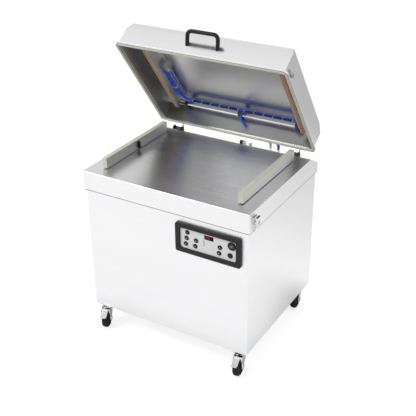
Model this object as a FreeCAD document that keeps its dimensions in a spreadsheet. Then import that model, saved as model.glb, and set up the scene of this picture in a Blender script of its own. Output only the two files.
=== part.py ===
# Floor-standing chamber vacuum packing machine with its lid open, sizes in millimetres.
# The origin lies on the floor under the middle of the table, +Z is up and -Y is the front.
import FreeCAD, Part
import math
import os
import re
import Sketcher

Vector = FreeCAD.Vector
Rotation = FreeCAD.Rotation

# Driving dimensions
SIZES = {
    # Table and cabinet
    "table_width": 900, "table_depth": 730, "apron_height": 98, "table_sheet": 3, "bend_radius": 4,
    "slope_length": 84, "slope_drop": 48, "cabinet_inset": 7, "cabinet_height": 663, "lip_margin": 5,
    "cabinet_sheet": 2, "fit_gap": 0.3, "running_gap": 0.06,
    # Rear panel with its louvres
    "louvre_width": 260, "louvre_slot": 8, "louvre_pitch": 26, "louvre_count": 9,
    "louvre_spread": 200, "louvre_foot": 120,
    # Lid
    "lid_margin": 1, "lid_sheet": 2, "lid_open_angle": 53.9,
    "side_flange": 14, "end_flange": 10, "rim_thickness": 3, "rim_corner": 22,
    "lid_wall": 94, "chamfer_rise": 39, "chamfer_front": 14, "chamfer_side": 13, "chamfer_rear": 35,
    "gasket_height": 15, "gasket_width": 15,
    # Hinges
    "hinge_setback": 38.5, "hinge_drop": 35.6, "hinge_inset": 110, "hinge_pin_radius": 6,
    "hinge_arm_width": 38, "hinge_cheek": 8, "hinge_cheek_rise": 40, "hinge_cheek_depth": 30,
    "hinge_well_depth": 56, "hinge_well_width": 78, "hinge_well_start": 9, "hinge_eye": 12,
    "pin_head_radius": 9, "pin_head_length": 14, "arm_gap": 3, "arm_sheet": 6, "arm_heel": 8, "arm_toe": 15,
    # Bow handle on the lid
    "handle_span": 142, "handle_reach": 84, "handle_tilt": 41, "handle_height": 56,
    "handle_bend": 20, "handle_thick": 17, "handle_wide": 22,
    # Seal bars and the counter bars above them
    "seal_inset": 83, "seal_width": 24, "seal_setback": 70, "seal_tail": 49,
    "seal_height": 51.5, "seal_gap": 4, "cover_sheet": 3, "lift_pin_radius": 7, "lift_pin_length": 34,
    "lift_pin_inset": 80, "lift_cup_radius": 24, "lift_cup_height": 46,
    "counter_level": 50, "counter_rear": 50, "counter_flange": 40, "counter_web": 6, "counter_width": 24,
    "counter_channel": 14, "counter_sheet": 3, "strip_width": 16, "strip_height": 9,
    "clip_width": 18, "clip_reach": 9, "clip_height": 34, "clip_sheet": 3.2,
    # Gas pipework in the lid
    "pipe_radius": 6, "pipe_inset": 128, "pipe_setback": 42, "pipe_level": 85, "nozzle_count": 10,
    "nozzle_reach": 3, "hose_radius": 8, "hose_setback": 58, "hose_level": 106, "hose_inset": 117,
    "hose_bend": 30, "hose_start": 340, "saddle_width": 16, "saddle_margin": 5,
    "branch_radius": 6, "branch_place": 18, "branch_lean": 22, "branch_setback": 70, "branch_level": 44,
    "branch_rise": 8, "branch_run": 22,
    # Hoses from the table to the lid
    "grey_hose_place": 188, "blue_hose_place": 233, "link_hose_lean": 22,
    "grey_hose_radius": 6.8, "blue_hose_radius": 7.2, "socket_setback": 67, "socket_length": 12,
    "socket_wall": 4, "socket_flange": 7, "socket_run": 26, "wall_run": 32, "link_level": 20,
    # Control panel
    "panel_inset": 210, "panel_drop": 207.5, "bezel_side": 25, "bezel_end": 23, "bezel_depth": 13,
    "bezel_corner": 12, "plate_width": 292, "plate_height": 105, "plate_corner": 12, "plate_depth": 3,
    "plate_recess": 8, "collar_rise": 1.5, "collar_width": 2.4, "button_radius": 9,
    "button_proud": 2.6, "start_radius": 18.5, "stop_radius": 11, "row_pitch": 30.5, "row_slant": 4.4,
    "row_lift": 2.5, "left_inset": 34, "middle_inset": 84, "right_inset": 83.5,
    "start_inset": 23, "start_rise": 26, "stop_inset": 31, "stop_rise": -24.5,
    "skirt_reach": 2, "skirt_sheet": 1.2, "window_width": 48, "window_height": 22, "window_rise": 33,
    "window_shift": 5, "window_corner": 2, "window_proud": 0.6, "board_gap": 12, "board_sheet": 2,
    "chip_width": 30, "chip_depth": 24, "chip_height": 9, "post_radius": 3.5, "post_seat": 1,
    # Lid latch on the right of the apron
    "latch_setback": 50, "latch_width": 32, "latch_height": 68, "latch_drop": 26, "latch_depth": 20,
    "latch_sheet": 2, "latch_pivot_rise": 12, "latch_pin_radius": 3, "latch_barrel": 4.4, "keeper_reach": 10,
    "keeper_low": 9, "keeper_tip": 19, "keeper_sheet": 3, "keeper_back": 4, "keeper_rise": 34,
    # Castors
    "castor_height": 125, "castor_inset": 55, "castor_setback": 43, "castor_tail": 44, "castor_trail": 38,
    "wheel_radius": 50, "wheel_width": 32, "hub_radius": 36, "axle_radius": 6, "fork_sheet": 3,
    "fork_gap": 4, "head_radius": 29, "head_height": 13, "castor_plate": 70, "plate_sheet": 4,
    "bolt_hole": 4.2, "king_pin_radius": 8, "brake_ear": 22, "leg_relief": 6, "leg_skirt": 12,
    "leg_foot": 14, "leg_shoulder": 8, "leg_root": 18, "nut_margin": 4, "nut_height": 5, "boss_margin": 8,
    "pedal_length": 62, "pedal_width": 30, "pedal_sheet": 3, "pedal_setback": 14, "pedal_drop": 3,
    "pedal_heel": 5, "pedal_lift": 2, "pedal_knee": 12, "pedal_toe": 9, "pedal_barrel": 4.5, "pedal_pin": 3,
    "pedal_rivet": 1,
    # Inner works
    "pump_length": 250, "pump_width": 200, "pump_height": 210, "fin_reach": 10, "fin_sheet": 5,
    "dome_height": 40, "motor_radius": 92, "motor_length": 230, "motor_lift": 14, "cowl_step": 10,
    "rib_step": 3, "rib_sheet": 4, "works_margin": 60, "riser_radius": 20, "riser_wall": 3,
    "riser_flange": 8, "riser_collar": 12, "coil_width": 130, "coil_depth": 110, "coil_height": 140,
    "valve_width": 120, "valve_depth": 60, "valve_height": 46, "valve_drop": 200,
    # Rear fittings
    "inlet_radius": 15, "inlet_length": 24, "inlet_height": 60, "inlet_inset": 150,
    "switch_place": 78, "switch_width": 66, "switch_depth": 14, "switch_rise": 17, "switch_setback": 14,
}

# Dimensions that follow from the driving ones
DERIVED = {
    "lid_width": "table_width", "lid_length": "table_depth - slope_length - lid_margin",
    "hinge_spread": "table_width / 2 - hinge_inset", "seal_spread": "table_width / 2 - seal_inset",
    "seal_front": "table_depth / 2 - seal_setback",
    "seal_length": "table_depth - slope_length - seal_setback - seal_tail",
    "pipe_half_length": "table_width / 2 - pipe_inset", "hose_side": "table_width / 2 - hose_inset",
    "panel_place": "table_width / 2 - panel_inset", "latch_place": "table_depth / 2 - latch_setback",
    "castor_spread": "table_width / 2 - castor_inset", "castor_front": "table_depth / 2 - castor_setback",
    "castor_rear": "table_depth / 2 - castor_tail", "inlet_place": "table_width / 2 - inlet_inset",
    "bezel_width": "plate_width + 2 * bezel_side", "bezel_height": "plate_height + 2 * bezel_end",
    "left_column": "left_inset - plate_width / 2", "middle_column": "middle_inset - plate_width / 2",
    "right_column": "plate_width / 2 - right_inset", "start_place": "plate_width / 2 - start_inset",
    "stop_place": "plate_width / 2 - stop_inset",
}

doc = FreeCAD.newDocument("ChamberPacker")
sheet = doc.addObject("Spreadsheet::Sheet", "Sizes")
cells = [(alias, str(number)) for alias, number in SIZES.items()]
cells += [(alias, "=" + formula) for alias, formula in DERIVED.items()]
for row, (alias, content) in enumerate(cells, start=1):
    sheet.set("A%d" % row, alias)
    sheet.set("B%d" % row, content)
    sheet.setAlias("B%d" % row, alias)
doc.recompute()

# Levels and places that several pieces share, as expressions of the sheet
TABLE = "(castor_height + cabinet_height + apron_height)"
APRON_FOOT = "(castor_height + cabinet_height)"
FRONT = "(-table_depth / 2)"
CABINET_FRONT = "(-table_depth / 2 + cabinet_inset)"
FLAT_END = "(table_depth / 2 - slope_length)"
HINGE_Y = "(table_depth / 2 - slope_length + hinge_setback)"
HINGE_Z = "(castor_height + cabinet_height + apron_height - hinge_drop)"
RIM_Y = "(-hinge_setback)"
RIM_Z = "(hinge_drop + gasket_height + fit_gap)"
PANEL_Z = "(castor_height + cabinet_height + apron_height - panel_drop)"

nodes = []


def bound(expression):
    """Put the sheet's name before each alias of an expression."""
    def mark(word):
        known = word.group() in SIZES or word.group() in DERIVED
        return "Sizes." + word.group() if known else word.group()
    return re.sub(r"[a-z][a-z_]*", mark, expression)


def size(alias):
    """Read one dimension from the sheet."""
    return float(sheet.get(alias))


def node(label, item):
    """Name a finished sub-part."""
    item.Label = label
    nodes.append(item)
    return item


def bind(item, settings):
    for name, expression in settings.items():
        item.setExpression(name, bound(expression))
    return item


def place(item, at, rotation=None):
    """Set a sub-part down at a point given by three expressions."""
    if rotation:
        item.Placement = FreeCAD.Placement(Vector(), rotation)
    return bind(item, {"Placement.Base." + axis: text for axis, text in zip("xyz", at)})


def box(name, spans, at):
    item = doc.addObject("Part::Box", name)
    bind(item, dict(zip(("Length", "Width", "Height"), spans)))
    return place(item, at)


TURN = {"x": Rotation(Vector(0, 1, 0), 90), "y": Rotation(Vector(1, 0, 0), -90), "z": None}


def rod(name, radius, length, at, axis="z"):
    item = doc.addObject("Part::Cylinder", name)
    bind(item, {"Radius": radius, "Height": length})
    return place(item, at, TURN[axis])


def fuse(name, *pieces):
    item = doc.addObject("Part::MultiFuse", name)
    item.Shapes = list(pieces)
    item.Refine = True
    return item


def cut(name, base, *tools):
    item = doc.addObject("Part::Cut", name)
    item.Base = base
    item.Tool = tools[0] if len(tools) == 1 else fuse(name + "_tools", *tools)
    item.Refine = True
    return item


def group(name, *pieces):
    item = doc.addObject("Part::Compound", name)
    item.Links = list(pieces)
    return item


def slab(name, spans, at, corner):
    """A flat plate with four rounded corners, standing on its corner point."""
    wide, deep, tall = spans
    x, y, z = at
    pieces = [
        box(name + "_wide", (wide, "%s - 2 * (%s)" % (deep, corner), tall),
            (x, "%s + %s" % (y, corner), z)),
        box(name + "_deep", ("%s - 2 * (%s)" % (wide, corner), deep, tall),
            ("%s + %s" % (x, corner), y, z)),
    ]
    for i, far_x in enumerate(("%s", "%s + %s - 2 * (%s)")):
        for k, far_y in enumerate(("%s", "%s + %s - 2 * (%s)")):
            cx = far_x % ((x,) if i == 0 else (x, wide, corner))
            cy = far_y % ((y,) if k == 0 else (y, deep, corner))
            pieces.append(rod("%s_corner%d%d" % (name, i, k), corner, tall,
                              ("%s + %s" % (cx, corner), "%s + %s" % (cy, corner), z)))
    return fuse(name, *pieces)


PLANE = {"x": "YZ_Plane", "y": "XZ_Plane", "z": "XY_Plane"}


def extrusion(name, axis, outline, depth, at=("0", "0", "0")):
    """Pad a straight-sided outline along an axis; along Y the pad runs to the front."""
    body = doc.addObject("PartDesign::Body", name)
    plane = [item for item in body.Origin.OriginFeatures if item.Role == PLANE[axis]][0]
    sketch = body.newObject("Sketcher::SketchObject", name + "_sketch")
    sketch.AttachmentSupport = [(plane, "")]
    sketch.MapMode = "FlatFace"
    count = len(outline)
    turns = [2 * math.pi * i / count for i in range(count)]
    ring = [Vector(math.cos(turn), math.sin(turn), 0) for turn in turns]
    for i in range(count):
        sketch.addGeometry(Part.LineSegment(ring[i], ring[(i + 1) % count]), False)
    for i in range(count):
        sketch.addConstraint(Sketcher.Constraint("Coincident", i, 2, (i + 1) % count, 1))
    for i, point in enumerate(outline):
        for way, text in zip(("DistanceX", "DistanceY"), point):
            at_index = sketch.addConstraint(Sketcher.Constraint(way, -1, 1, i, 1, 1.0 + i))
            sketch.setExpression("Constraints[%d]" % at_index, bound(text))
    pad = body.newObject("PartDesign::Pad", name + "_pad")
    pad.Profile = sketch
    bind(pad, {"Length": depth})
    return place(body, at)


def folded(name, item, chosen):
    """Round the bends of a folded sheet, on the edges that are chosen by their two ends."""
    doc.recompute()
    radius = size("bend_radius")
    bends = [k for k, edge in enumerate(item.Shape.Edges, start=1)
             if chosen(*(vertex.Point for vertex in edge.Vertexes))]
    rounded = doc.addObject("Part::Fillet", name)
    rounded.Base = item
    rounded.Edges = [(k, radius, radius) for k in bends]
    return rounded


def solid(name, shape):
    """Hold a shape that is made edge by edge."""
    item = doc.addObject("Part::Feature", name)
    item.Shape = shape
    return item


def route_tube(name, points, radius):
    """A tube along straight runs joined by tangent arcs."""
    edges = []
    start = points[0]
    length = 0.0
    radii = []
    for before, corner, after in zip(points, points[1:], points[2:]):
        into, out = (before - corner), (after - corner)
        half = (math.pi - into.getAngle(out)) / 2
        tangent = 0.45 * min(into.Length, out.Length)
        bend = tangent / math.tan(half)
        radii.append(round(bend, 1))
        first = corner + into.normalize() * tangent
        last = corner + out.normalize() * tangent
        inward = (into + out).normalize()
        middle = corner + inward * (bend / math.cos(half) - bend)
        edges += [Part.LineSegment(start, first).toShape(), Part.Arc(first, middle, last).toShape()]
        length += (first - start).Length + bend * 2 * half
        start = last
    edges.append(Part.LineSegment(start, points[-1]).toShape())
    length += (points[-1] - start).Length
    wire = Part.Wire(edges)
    profile = Part.Wire([Part.Circle(points[0], points[1] - points[0], radius).toShape()])
    tube = wire.makePipeShell([profile], True, False)
    share = tube.Volume / (math.pi * radius * radius * length)
    print(name, "bend radii", radii, "length", round(length, 1), "volume share", round(share, 4))
    return solid(name, tube)


def on_lid(item):
    """Turn a piece from the closed lid's frame, whose origin is on the hinge, to the open pose."""
    item.Placement = FreeCAD.Placement(Vector(), Rotation(Vector(-1, 0, 0), size("lid_open_angle")))
    bind(item, {"Placement.Rotation.Angle": "lid_open_angle"})
    return place(item, ("0", HINGE_Y, HINGE_Z))


SIDES = (("left", -1, "-"), ("right", 1, "+"))


def make_table_top():
    """Chamber plate with its apron and rear slope, two hinge wells and the lift-pin holes."""
    steep = "(slope_drop / slope_length)"
    slant = "sqrt(1 + (slope_drop / slope_length) * (slope_drop / slope_length))"
    outer = extrusion("table_outer", "x", [
        (FRONT, APRON_FOOT), (FRONT, TABLE), (FLAT_END, TABLE),
        ("table_depth / 2", TABLE + " - slope_drop"), ("table_depth / 2", APRON_FOOT),
    ], "table_width", ("-table_width / 2", "0", "0"))
    inner = extrusion("table_inner", "x", [
        (FRONT + " + table_sheet", APRON_FOOT + " + table_sheet"),
        (FRONT + " + table_sheet", TABLE + " - table_sheet"),
        (FLAT_END + " - table_sheet * (" + slant + " - 1) / " + steep, TABLE + " - table_sheet"),
        ("table_depth / 2 - table_sheet",
         TABLE + " - " + steep + " * (slope_length - table_sheet) - table_sheet * " + slant),
        ("table_depth / 2 - table_sheet", APRON_FOOT + " + table_sheet"),
    ], "table_width - 2 * table_sheet", ("-table_width / 2 + table_sheet", "0", "0"))
    table = size("castor_height") + size("cabinet_height") + size("apron_height")
    front = -size("table_depth") / 2

    def bend(a, b):
        flat = abs(a.z - table) + abs(b.z - table) < 1
        upright = abs(a.y - front) + abs(b.y - front) < 1 and abs(a.z - b.z) > 1
        return upright or flat and (abs(a.x - b.x) < 1 or a.y < 0)

    outer = folded("table_folded", outer, bend)
    # The apron's foot is folded in to a lip that rests on the cabinet's walls.
    lip = "(cabinet_inset + cabinet_sheet + lip_margin)"
    mouth = box("lip_mouth", ("table_width - 2 * " + lip, "table_depth - 2 * " + lip, "3 * table_sheet"),
                ("-table_width / 2 + " + lip, FRONT + " + " + lip, APRON_FOOT + " - table_sheet"))
    shell = cut("table_shell", outer, inner, mouth)
    walls, wells = [], []
    for side, sign, mark in SIDES:
        middle = mark + "hinge_spread"
        floor = TABLE + " - hinge_well_depth"
        back = "slope_length - hinge_well_start"
        block = box("well_block_" + side,
                    ("hinge_well_width + 2 * table_sheet", back + " + table_sheet",
                     "hinge_well_depth + table_sheet"),
                    (middle + " - hinge_well_width / 2 - table_sheet",
                     FLAT_END + " + hinge_well_start - table_sheet", floor + " - table_sheet"))
        wall = doc.addObject("Part::Common", "well_wall_" + side)
        wall.Base = block
        wall.Tool = extrusion("well_limit_" + side, "x", [
            (FRONT, APRON_FOOT), (FRONT, TABLE), (FLAT_END, TABLE),
            ("table_depth / 2", TABLE + " - slope_drop"), ("table_depth / 2", APRON_FOOT),
        ], "table_width", ("-table_width / 2", "0", "0"))
        walls.append(wall)
        wells.append(box("well_room_" + side, ("hinge_well_width", back + " + table_sheet",
                                               "hinge_well_depth * 2"),
                         (middle + " - hinge_well_width / 2", FLAT_END + " + hinge_well_start", floor)))
    holes = []
    for side, sign, mark in SIDES:
        for end, along in lift_pin_ends():
            holes.append(rod("pin_hole_%s_%s" % (side, end), "lift_pin_radius + running_gap",
                             "3 * table_sheet",
                             (mark + "seal_spread", along, TABLE + " - 2 * table_sheet")))
    return node("table_top", cut("table_top", fuse("table_walled", shell, *walls), *(wells + holes)))


def lift_pin_ends():
    return (("front", "-seal_front + lift_pin_inset"),
            ("rear", "-seal_front + seal_length - lift_pin_inset"))


def make_cabinet():
    """Front and side walls as one folded sheet, the louvred rear panel and the bottom tray."""
    wide = "(table_width - 2 * cabinet_inset)"
    deep = "(table_depth - 2 * cabinet_inset)"
    x0 = "-table_width / 2 + cabinet_inset"
    outer = box("wall_outer", (wide, deep, "cabinet_height"), (x0, CABINET_FRONT, "castor_height"))
    inner = box("wall_inner", (wide + " - 2 * cabinet_sheet", deep, "cabinet_height + 2 * cabinet_sheet"),
                (x0 + " + cabinet_sheet", CABINET_FRONT + " + cabinet_sheet",
                 "castor_height - cabinet_sheet"))
    front = -size("table_depth") / 2 + size("cabinet_inset")

    def bend(a, b):
        return abs(a.y - front) + abs(b.y - front) < 1 and abs(a.z - b.z) > 1

    outer = folded("wall_folded", outer, bend)
    window = box("panel_window", ("plate_width", "4 * cabinet_sheet", "plate_height"),
                 ("panel_place - plate_width / 2", CABINET_FRONT + " - cabinet_sheet",
                  PANEL_Z + " - plate_height / 2"))
    node("cabinet_shell", cut("cabinet_shell", outer, inner, window))

    back = "(table_depth / 2 - cabinet_inset)"
    plate = box("rear_plate", (wide + " - 2 * cabinet_sheet - 2 * fit_gap", "cabinet_sheet",
                               "cabinet_height - cabinet_sheet - 2 * fit_gap"),
                (x0 + " + cabinet_sheet + fit_gap", back + " - cabinet_sheet",
                 "castor_height + cabinet_sheet + fit_gap"))
    slots, hoods = [], []
    for side, sign, mark in SIDES:
        for k in range(int(size("louvre_count"))):
            foot = "castor_height + louvre_foot + louvre_pitch * %d" % k
            slots.append(box("slot_%s_%d" % (side, k), ("louvre_width", "3 * cabinet_sheet", "louvre_slot"),
                             (mark + "louvre_spread - louvre_width / 2", back + " - 2 * cabinet_sheet",
                              foot)))
            hoods.append(extrusion("hood_%s_%d" % (side, k), "x", [
                (back, foot + " + louvre_slot + cabinet_sheet * 2"),
                (back + " + louvre_slot", foot),
                (back + " + louvre_slot - cabinet_sheet", foot),
                (back + " - cabinet_sheet / 2", foot + " + louvre_slot"),
            ], "louvre_width", (mark + "louvre_spread - louvre_width / 2", "0", "0")))
    gland = rod("gland_hole", "inlet_radius * 0.7", "4 * cabinet_sheet",
                ("-inlet_place", back + " - 2 * cabinet_sheet", "castor_height + inlet_height"), "y")
    node("rear_panel", fuse("rear_panel", cut("rear_holed", plate, gland, *slots), *hoods))

    tray = box("tray_plate", (wide + " - 2 * cabinet_sheet - 2 * fit_gap",
                              deep + " - 2 * cabinet_sheet - 2 * fit_gap", "cabinet_sheet"),
               (x0 + " + cabinet_sheet + fit_gap", CABINET_FRONT + " + cabinet_sheet + fit_gap",
                "castor_height"))
    rails = []
    for side, sign, mark in SIDES:
        rails.append(box("tray_rail_" + side, ("castor_plate", deep + " - 6 * cabinet_sheet",
                                               "cabinet_sheet * 10"),
                         (mark + "castor_spread - castor_plate / 2", CABINET_FRONT + " + 3 * cabinet_sheet",
                          "castor_height + cabinet_sheet")))
    node("base_tray", fuse("base_tray", tray, *rails))


def make_inner_works():
    """Oil-sealed pump with its motor, transformer, valve block and suction pipe."""
    tray = "(castor_height + cabinet_sheet)"
    x0 = "(-pump_length / 2 - works_margin)"
    y0 = "(-pump_width / 2 + works_margin)"
    case = slab("pump_case", ("pump_length", "pump_width", "pump_height"), (x0, y0, tray),
                "pump_width / 10")
    fins = [box("pump_fin_%d" % k, ("pump_length * 0.7", "pump_width + 2 * fin_reach", "fin_sheet"),
                (x0 + " + pump_length * 0.15", y0 + " - fin_reach",
                 tray + " + pump_height * %0.2f" % (0.25 + 0.1 * k)))
            for k in range(6)]
    dome = rod("pump_dome", "pump_width * 0.3", "dome_height",
               (x0 + " + pump_length * 0.3", y0 + " + pump_width / 2", tray + " + pump_height"))
    node("vacuum_pump", fuse("vacuum_pump", case, dome, *fins))

    axis_z = tray + " + motor_radius + motor_lift"
    start = x0 + " + pump_length + 2 * fit_gap"
    barrel = rod("motor_barrel", "motor_radius - cowl_step", "motor_length",
                 (start, y0 + " + pump_width / 2", axis_z), "x")
    cowl = rod("motor_cowl", "motor_radius", "motor_length * 0.25",
               (start + " + motor_length * 0.75", y0 + " + pump_width / 2", axis_z), "x")
    feet = box("motor_feet", ("motor_length * 0.5", "motor_radius * 1.6", "motor_radius"),
               (start + " + motor_length * 0.12", y0 + " + pump_width / 2 - motor_radius * 0.8", tray))
    ribs = [rod("motor_rib_%d" % k, "motor_radius - rib_step", "rib_sheet",
                (start + " + motor_length * %0.2f" % (0.1 + 0.09 * k), y0 + " + pump_width / 2", axis_z),
                "x")
            for k in range(7)]
    node("pump_motor", fuse("pump_motor", barrel, cowl, feet, *ribs))

    coil_y = CABINET_FRONT + " + works_margin * 2"
    coil_x = "(-castor_spread + castor_plate / 2 + works_margin)"
    core = box("coil_core", ("coil_width", "coil_depth * 0.6", "coil_height"),
               (coil_x, coil_y + " + coil_depth * 0.2", tray))
    winding = slab("coil_winding", ("coil_width * 0.6", "coil_depth", "coil_height * 0.6"),
                   (coil_x + " + coil_width * 0.2", coil_y, tray + " + coil_height * 0.2"),
                   "coil_depth * 0.2")
    node("transformer", fuse("transformer", core, winding))

    valve_x = "(-valve_width / 2)"
    valve_y = "(table_depth / 2 - cabinet_inset - cabinet_sheet - valve_depth)"
    valve_z = "(castor_height + cabinet_height - valve_drop)"
    block = box("valve_body", ("valve_width", "valve_depth", "valve_height"), (valve_x, valve_y, valve_z))
    coils = [rod("valve_coil_%d" % k, "valve_depth * 0.22", "valve_height",
                 ("-valve_width / 2 + valve_width * %0.2f" % (0.2 + 0.3 * k),
                  valve_y + " + valve_depth / 2",
                  valve_z + " + valve_height")) for k in range(3)]
    node("valve_block", fuse("valve_block", block, *coils))

    riser_x = x0 + " + pump_length * 0.3"
    riser_y = y0 + " + pump_width / 2"
    foot = tray + " + pump_height + dome_height"
    riser = rod("riser", "riser_radius", TABLE + " - table_sheet - (" + foot + ")",
                (riser_x, riser_y, foot))
    bore = rod("riser_bore", "riser_radius - riser_wall", "cabinet_height + apron_height",
               (riser_x, riser_y, foot))
    collar = rod("riser_collar", "riser_radius + riser_flange", "riser_collar", (riser_x, riser_y, foot))
    node("suction_pipe", cut("suction_pipe", fuse("riser_body", riser, collar), bore))


def make_hinges():
    """Black bearing blocks in the table's wells, steel pins and the lid's two arms."""
    floor = TABLE + " - hinge_well_depth"
    cheek_y = HINGE_Y + " - hinge_cheek_depth / 2"
    blocks, pins, arms = [], [], []
    inside = "(hinge_arm_width / 2 + fit_gap)"
    for side, sign, mark in SIDES:
        middle = mark + "hinge_spread"
        sole = box("hinge_sole_" + side, ("2 * (" + inside + " + hinge_cheek)", "hinge_cheek_depth",
                                          "hinge_cheek / 2"),
                   (middle + " - " + inside + " - hinge_cheek", cheek_y, floor))
        cheeks = []
        for hand, near in (("a", middle + " - " + inside + " - hinge_cheek"),
                           ("b", middle + " + " + inside)):
            tall = "hinge_well_depth - hinge_drop + hinge_cheek_rise - hinge_cheek_depth / 2"
            post = box("hinge_post_" + side + hand, ("hinge_cheek", "hinge_cheek_depth", tall),
                       (near, cheek_y, floor))
            crown = rod("hinge_crown_" + side + hand, "hinge_cheek_depth / 2", "hinge_cheek",
                        (near, HINGE_Y, HINGE_Z + " + hinge_cheek_rise - hinge_cheek_depth / 2"), "x")
            cheeks += [post, crown]
        bore = rod("hinge_bore_" + side, "hinge_pin_radius + running_gap", "hinge_well_width",
                   (middle + " - hinge_well_width / 2", HINGE_Y, HINGE_Z), "x")
        blocks.append(cut("hinge_block_" + side, fuse("hinge_raw_" + side, sole, *cheeks), bore))

        end = "(" + inside + " + hinge_cheek + fit_gap)"
        shank = rod("hinge_shank_" + side, "hinge_pin_radius", "2 * " + end,
                    (middle + " - " + end, HINGE_Y, HINGE_Z), "x")
        head = rod("hinge_head_" + side, "pin_head_radius", "pin_head_length * 0.6",
                   (middle + " + " + end, HINGE_Y, HINGE_Z), "x")
        pins.append(fuse("hinge_pin_" + side, shank, head))

        wall_y = RIM_Y + " - end_flange + fit_gap"
        arm = extrusion("arm_plate_" + side, "x", [
            ("-hinge_eye * 0.9", "-hinge_eye * 0.3"),
            (RIM_Y + " + arm_gap", RIM_Z + " - arm_sheet"),
            (RIM_Y + " + arm_gap", RIM_Z + " + rim_thickness + arm_gap"),
            (wall_y, RIM_Z + " + rim_thickness + arm_gap"),
            (wall_y, RIM_Z + " + lid_wall * 0.72"),
            (wall_y + " + arm_sheet", RIM_Z + " + lid_wall * 0.72"),
            (RIM_Y + " + arm_toe", RIM_Z + " + rim_thickness + arm_heel"),
            ("hinge_eye * 0.95", "hinge_eye * 0.3"),
        ], "hinge_arm_width", (middle + " - hinge_arm_width / 2", "0", "0"))
        eye = rod("arm_eye_" + side, "hinge_eye", "hinge_arm_width",
                  (middle + " - hinge_arm_width / 2", "0", "0"), "x")
        hole = rod("arm_hole_" + side, "hinge_pin_radius + running_gap", "hinge_well_width",
                   (middle + " - hinge_well_width / 2", "0", "0"), "x")
        arms.append(cut("hinge_arm_" + side, fuse("arm_raw_" + side, arm, eye), hole))
    node("hinge_blocks", group("hinge_blocks", *blocks))
    node("hinge_pins", group("hinge_pins", *pins))
    node("hinge_arms", on_lid(group("hinge_arms", *arms)))


def lid_form(name, inset, floor, roof):
    """The lid's folded box: upright walls under a bevelled roof, drawn in by an inset."""
    x0 = "-lid_width / 2 + side_flange + %s" % inset
    y0 = RIM_Y + " - lid_length + end_flange + %s" % inset
    wide = "lid_width - 2 * side_flange - 2 * %s" % inset
    deep = "lid_length - 2 * end_flange - 2 * %s" % inset
    walls = box(name + "_walls", (wide, deep, "lid_wall + " + floor), (x0, y0, RIM_Z + " - " + floor))
    bevel = doc.addObject("Part::Wedge", name + "_bevel")
    # The wedge tapers along its own Y, which a quarter turn about X stands upright.
    bind(bevel, {
        "Xmin": "0", "Xmax": wide, "Zmin": "0", "Zmax": deep, "Ymin": "0", "Ymax": "chamfer_rise - " + roof,
        "X2min": "chamfer_side", "X2max": wide + " - chamfer_side",
        "Z2min": "chamfer_rear", "Z2max": deep + " - chamfer_front",
    })
    place(bevel, (x0, y0 + " + " + deep, RIM_Z + " + lid_wall"), Rotation(Vector(1, 0, 0), 90))
    return fuse(name, walls, bevel)


def make_lid():
    outer = lid_form("lid_outer", "0", "0", "0")
    inner = lid_form("lid_inner", "lid_sheet", "lid_sheet", "lid_sheet")
    rim = slab("lid_rim", ("lid_width", "lid_length", "rim_thickness"),
               ("-lid_width / 2", RIM_Y + " - lid_length", RIM_Z), "rim_corner")
    node("lid_shell", on_lid(cut("lid_shell", fuse("lid_raw", outer, rim), inner)))

    edge = "fit_gap"
    low = RIM_Z + " - gasket_height"
    band = slab("gasket_outer", ("lid_width - 2 * " + edge, "lid_length - 2 * " + edge, "gasket_height"),
                ("-lid_width / 2 + " + edge, RIM_Y + " - lid_length + " + edge, low), "rim_corner")
    hole = slab("gasket_inner", ("lid_width - 2 * gasket_width", "lid_length - 2 * gasket_width",
                                 "gasket_height * 3"),
                ("-lid_width / 2 + gasket_width", RIM_Y + " - lid_length + gasket_width",
                 low + " - gasket_height"),
                "rim_corner / 2")
    node("lid_gasket", on_lid(cut("lid_gasket", band, hole)))
    make_handle()
    make_counter_bars()
    make_gas_pipes()

    x0 = "lid_width / 2 - side_flange"
    edge, tip = "lid_width / 2", "lid_width / 2 + keeper_reach"
    low, shelf = RIM_Z + " + keeper_low", RIM_Z + " + keeper_low + keeper_sheet"
    keeper = extrusion("keeper_body", "y", [
        (x0 + " + fit_gap", RIM_Z + " + rim_thickness"), (edge, RIM_Z + " + rim_thickness"),
        (edge, low), (tip, low), (tip, RIM_Z + " + keeper_tip"),
        (tip + " - keeper_sheet", RIM_Z + " + keeper_tip"),
        (tip + " - keeper_sheet", shelf), (x0 + " + keeper_back", shelf),
        (x0 + " + keeper_back", RIM_Z + " + keeper_rise"), (x0 + " + fit_gap", RIM_Z + " + keeper_rise"),
    ], "latch_width * 0.75", ("0", "-latch_place + latch_width * 0.375 - (" + HINGE_Y + ")", "0"))
    node("lid_keeper", on_lid(group("lid_keeper", keeper)))


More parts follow.
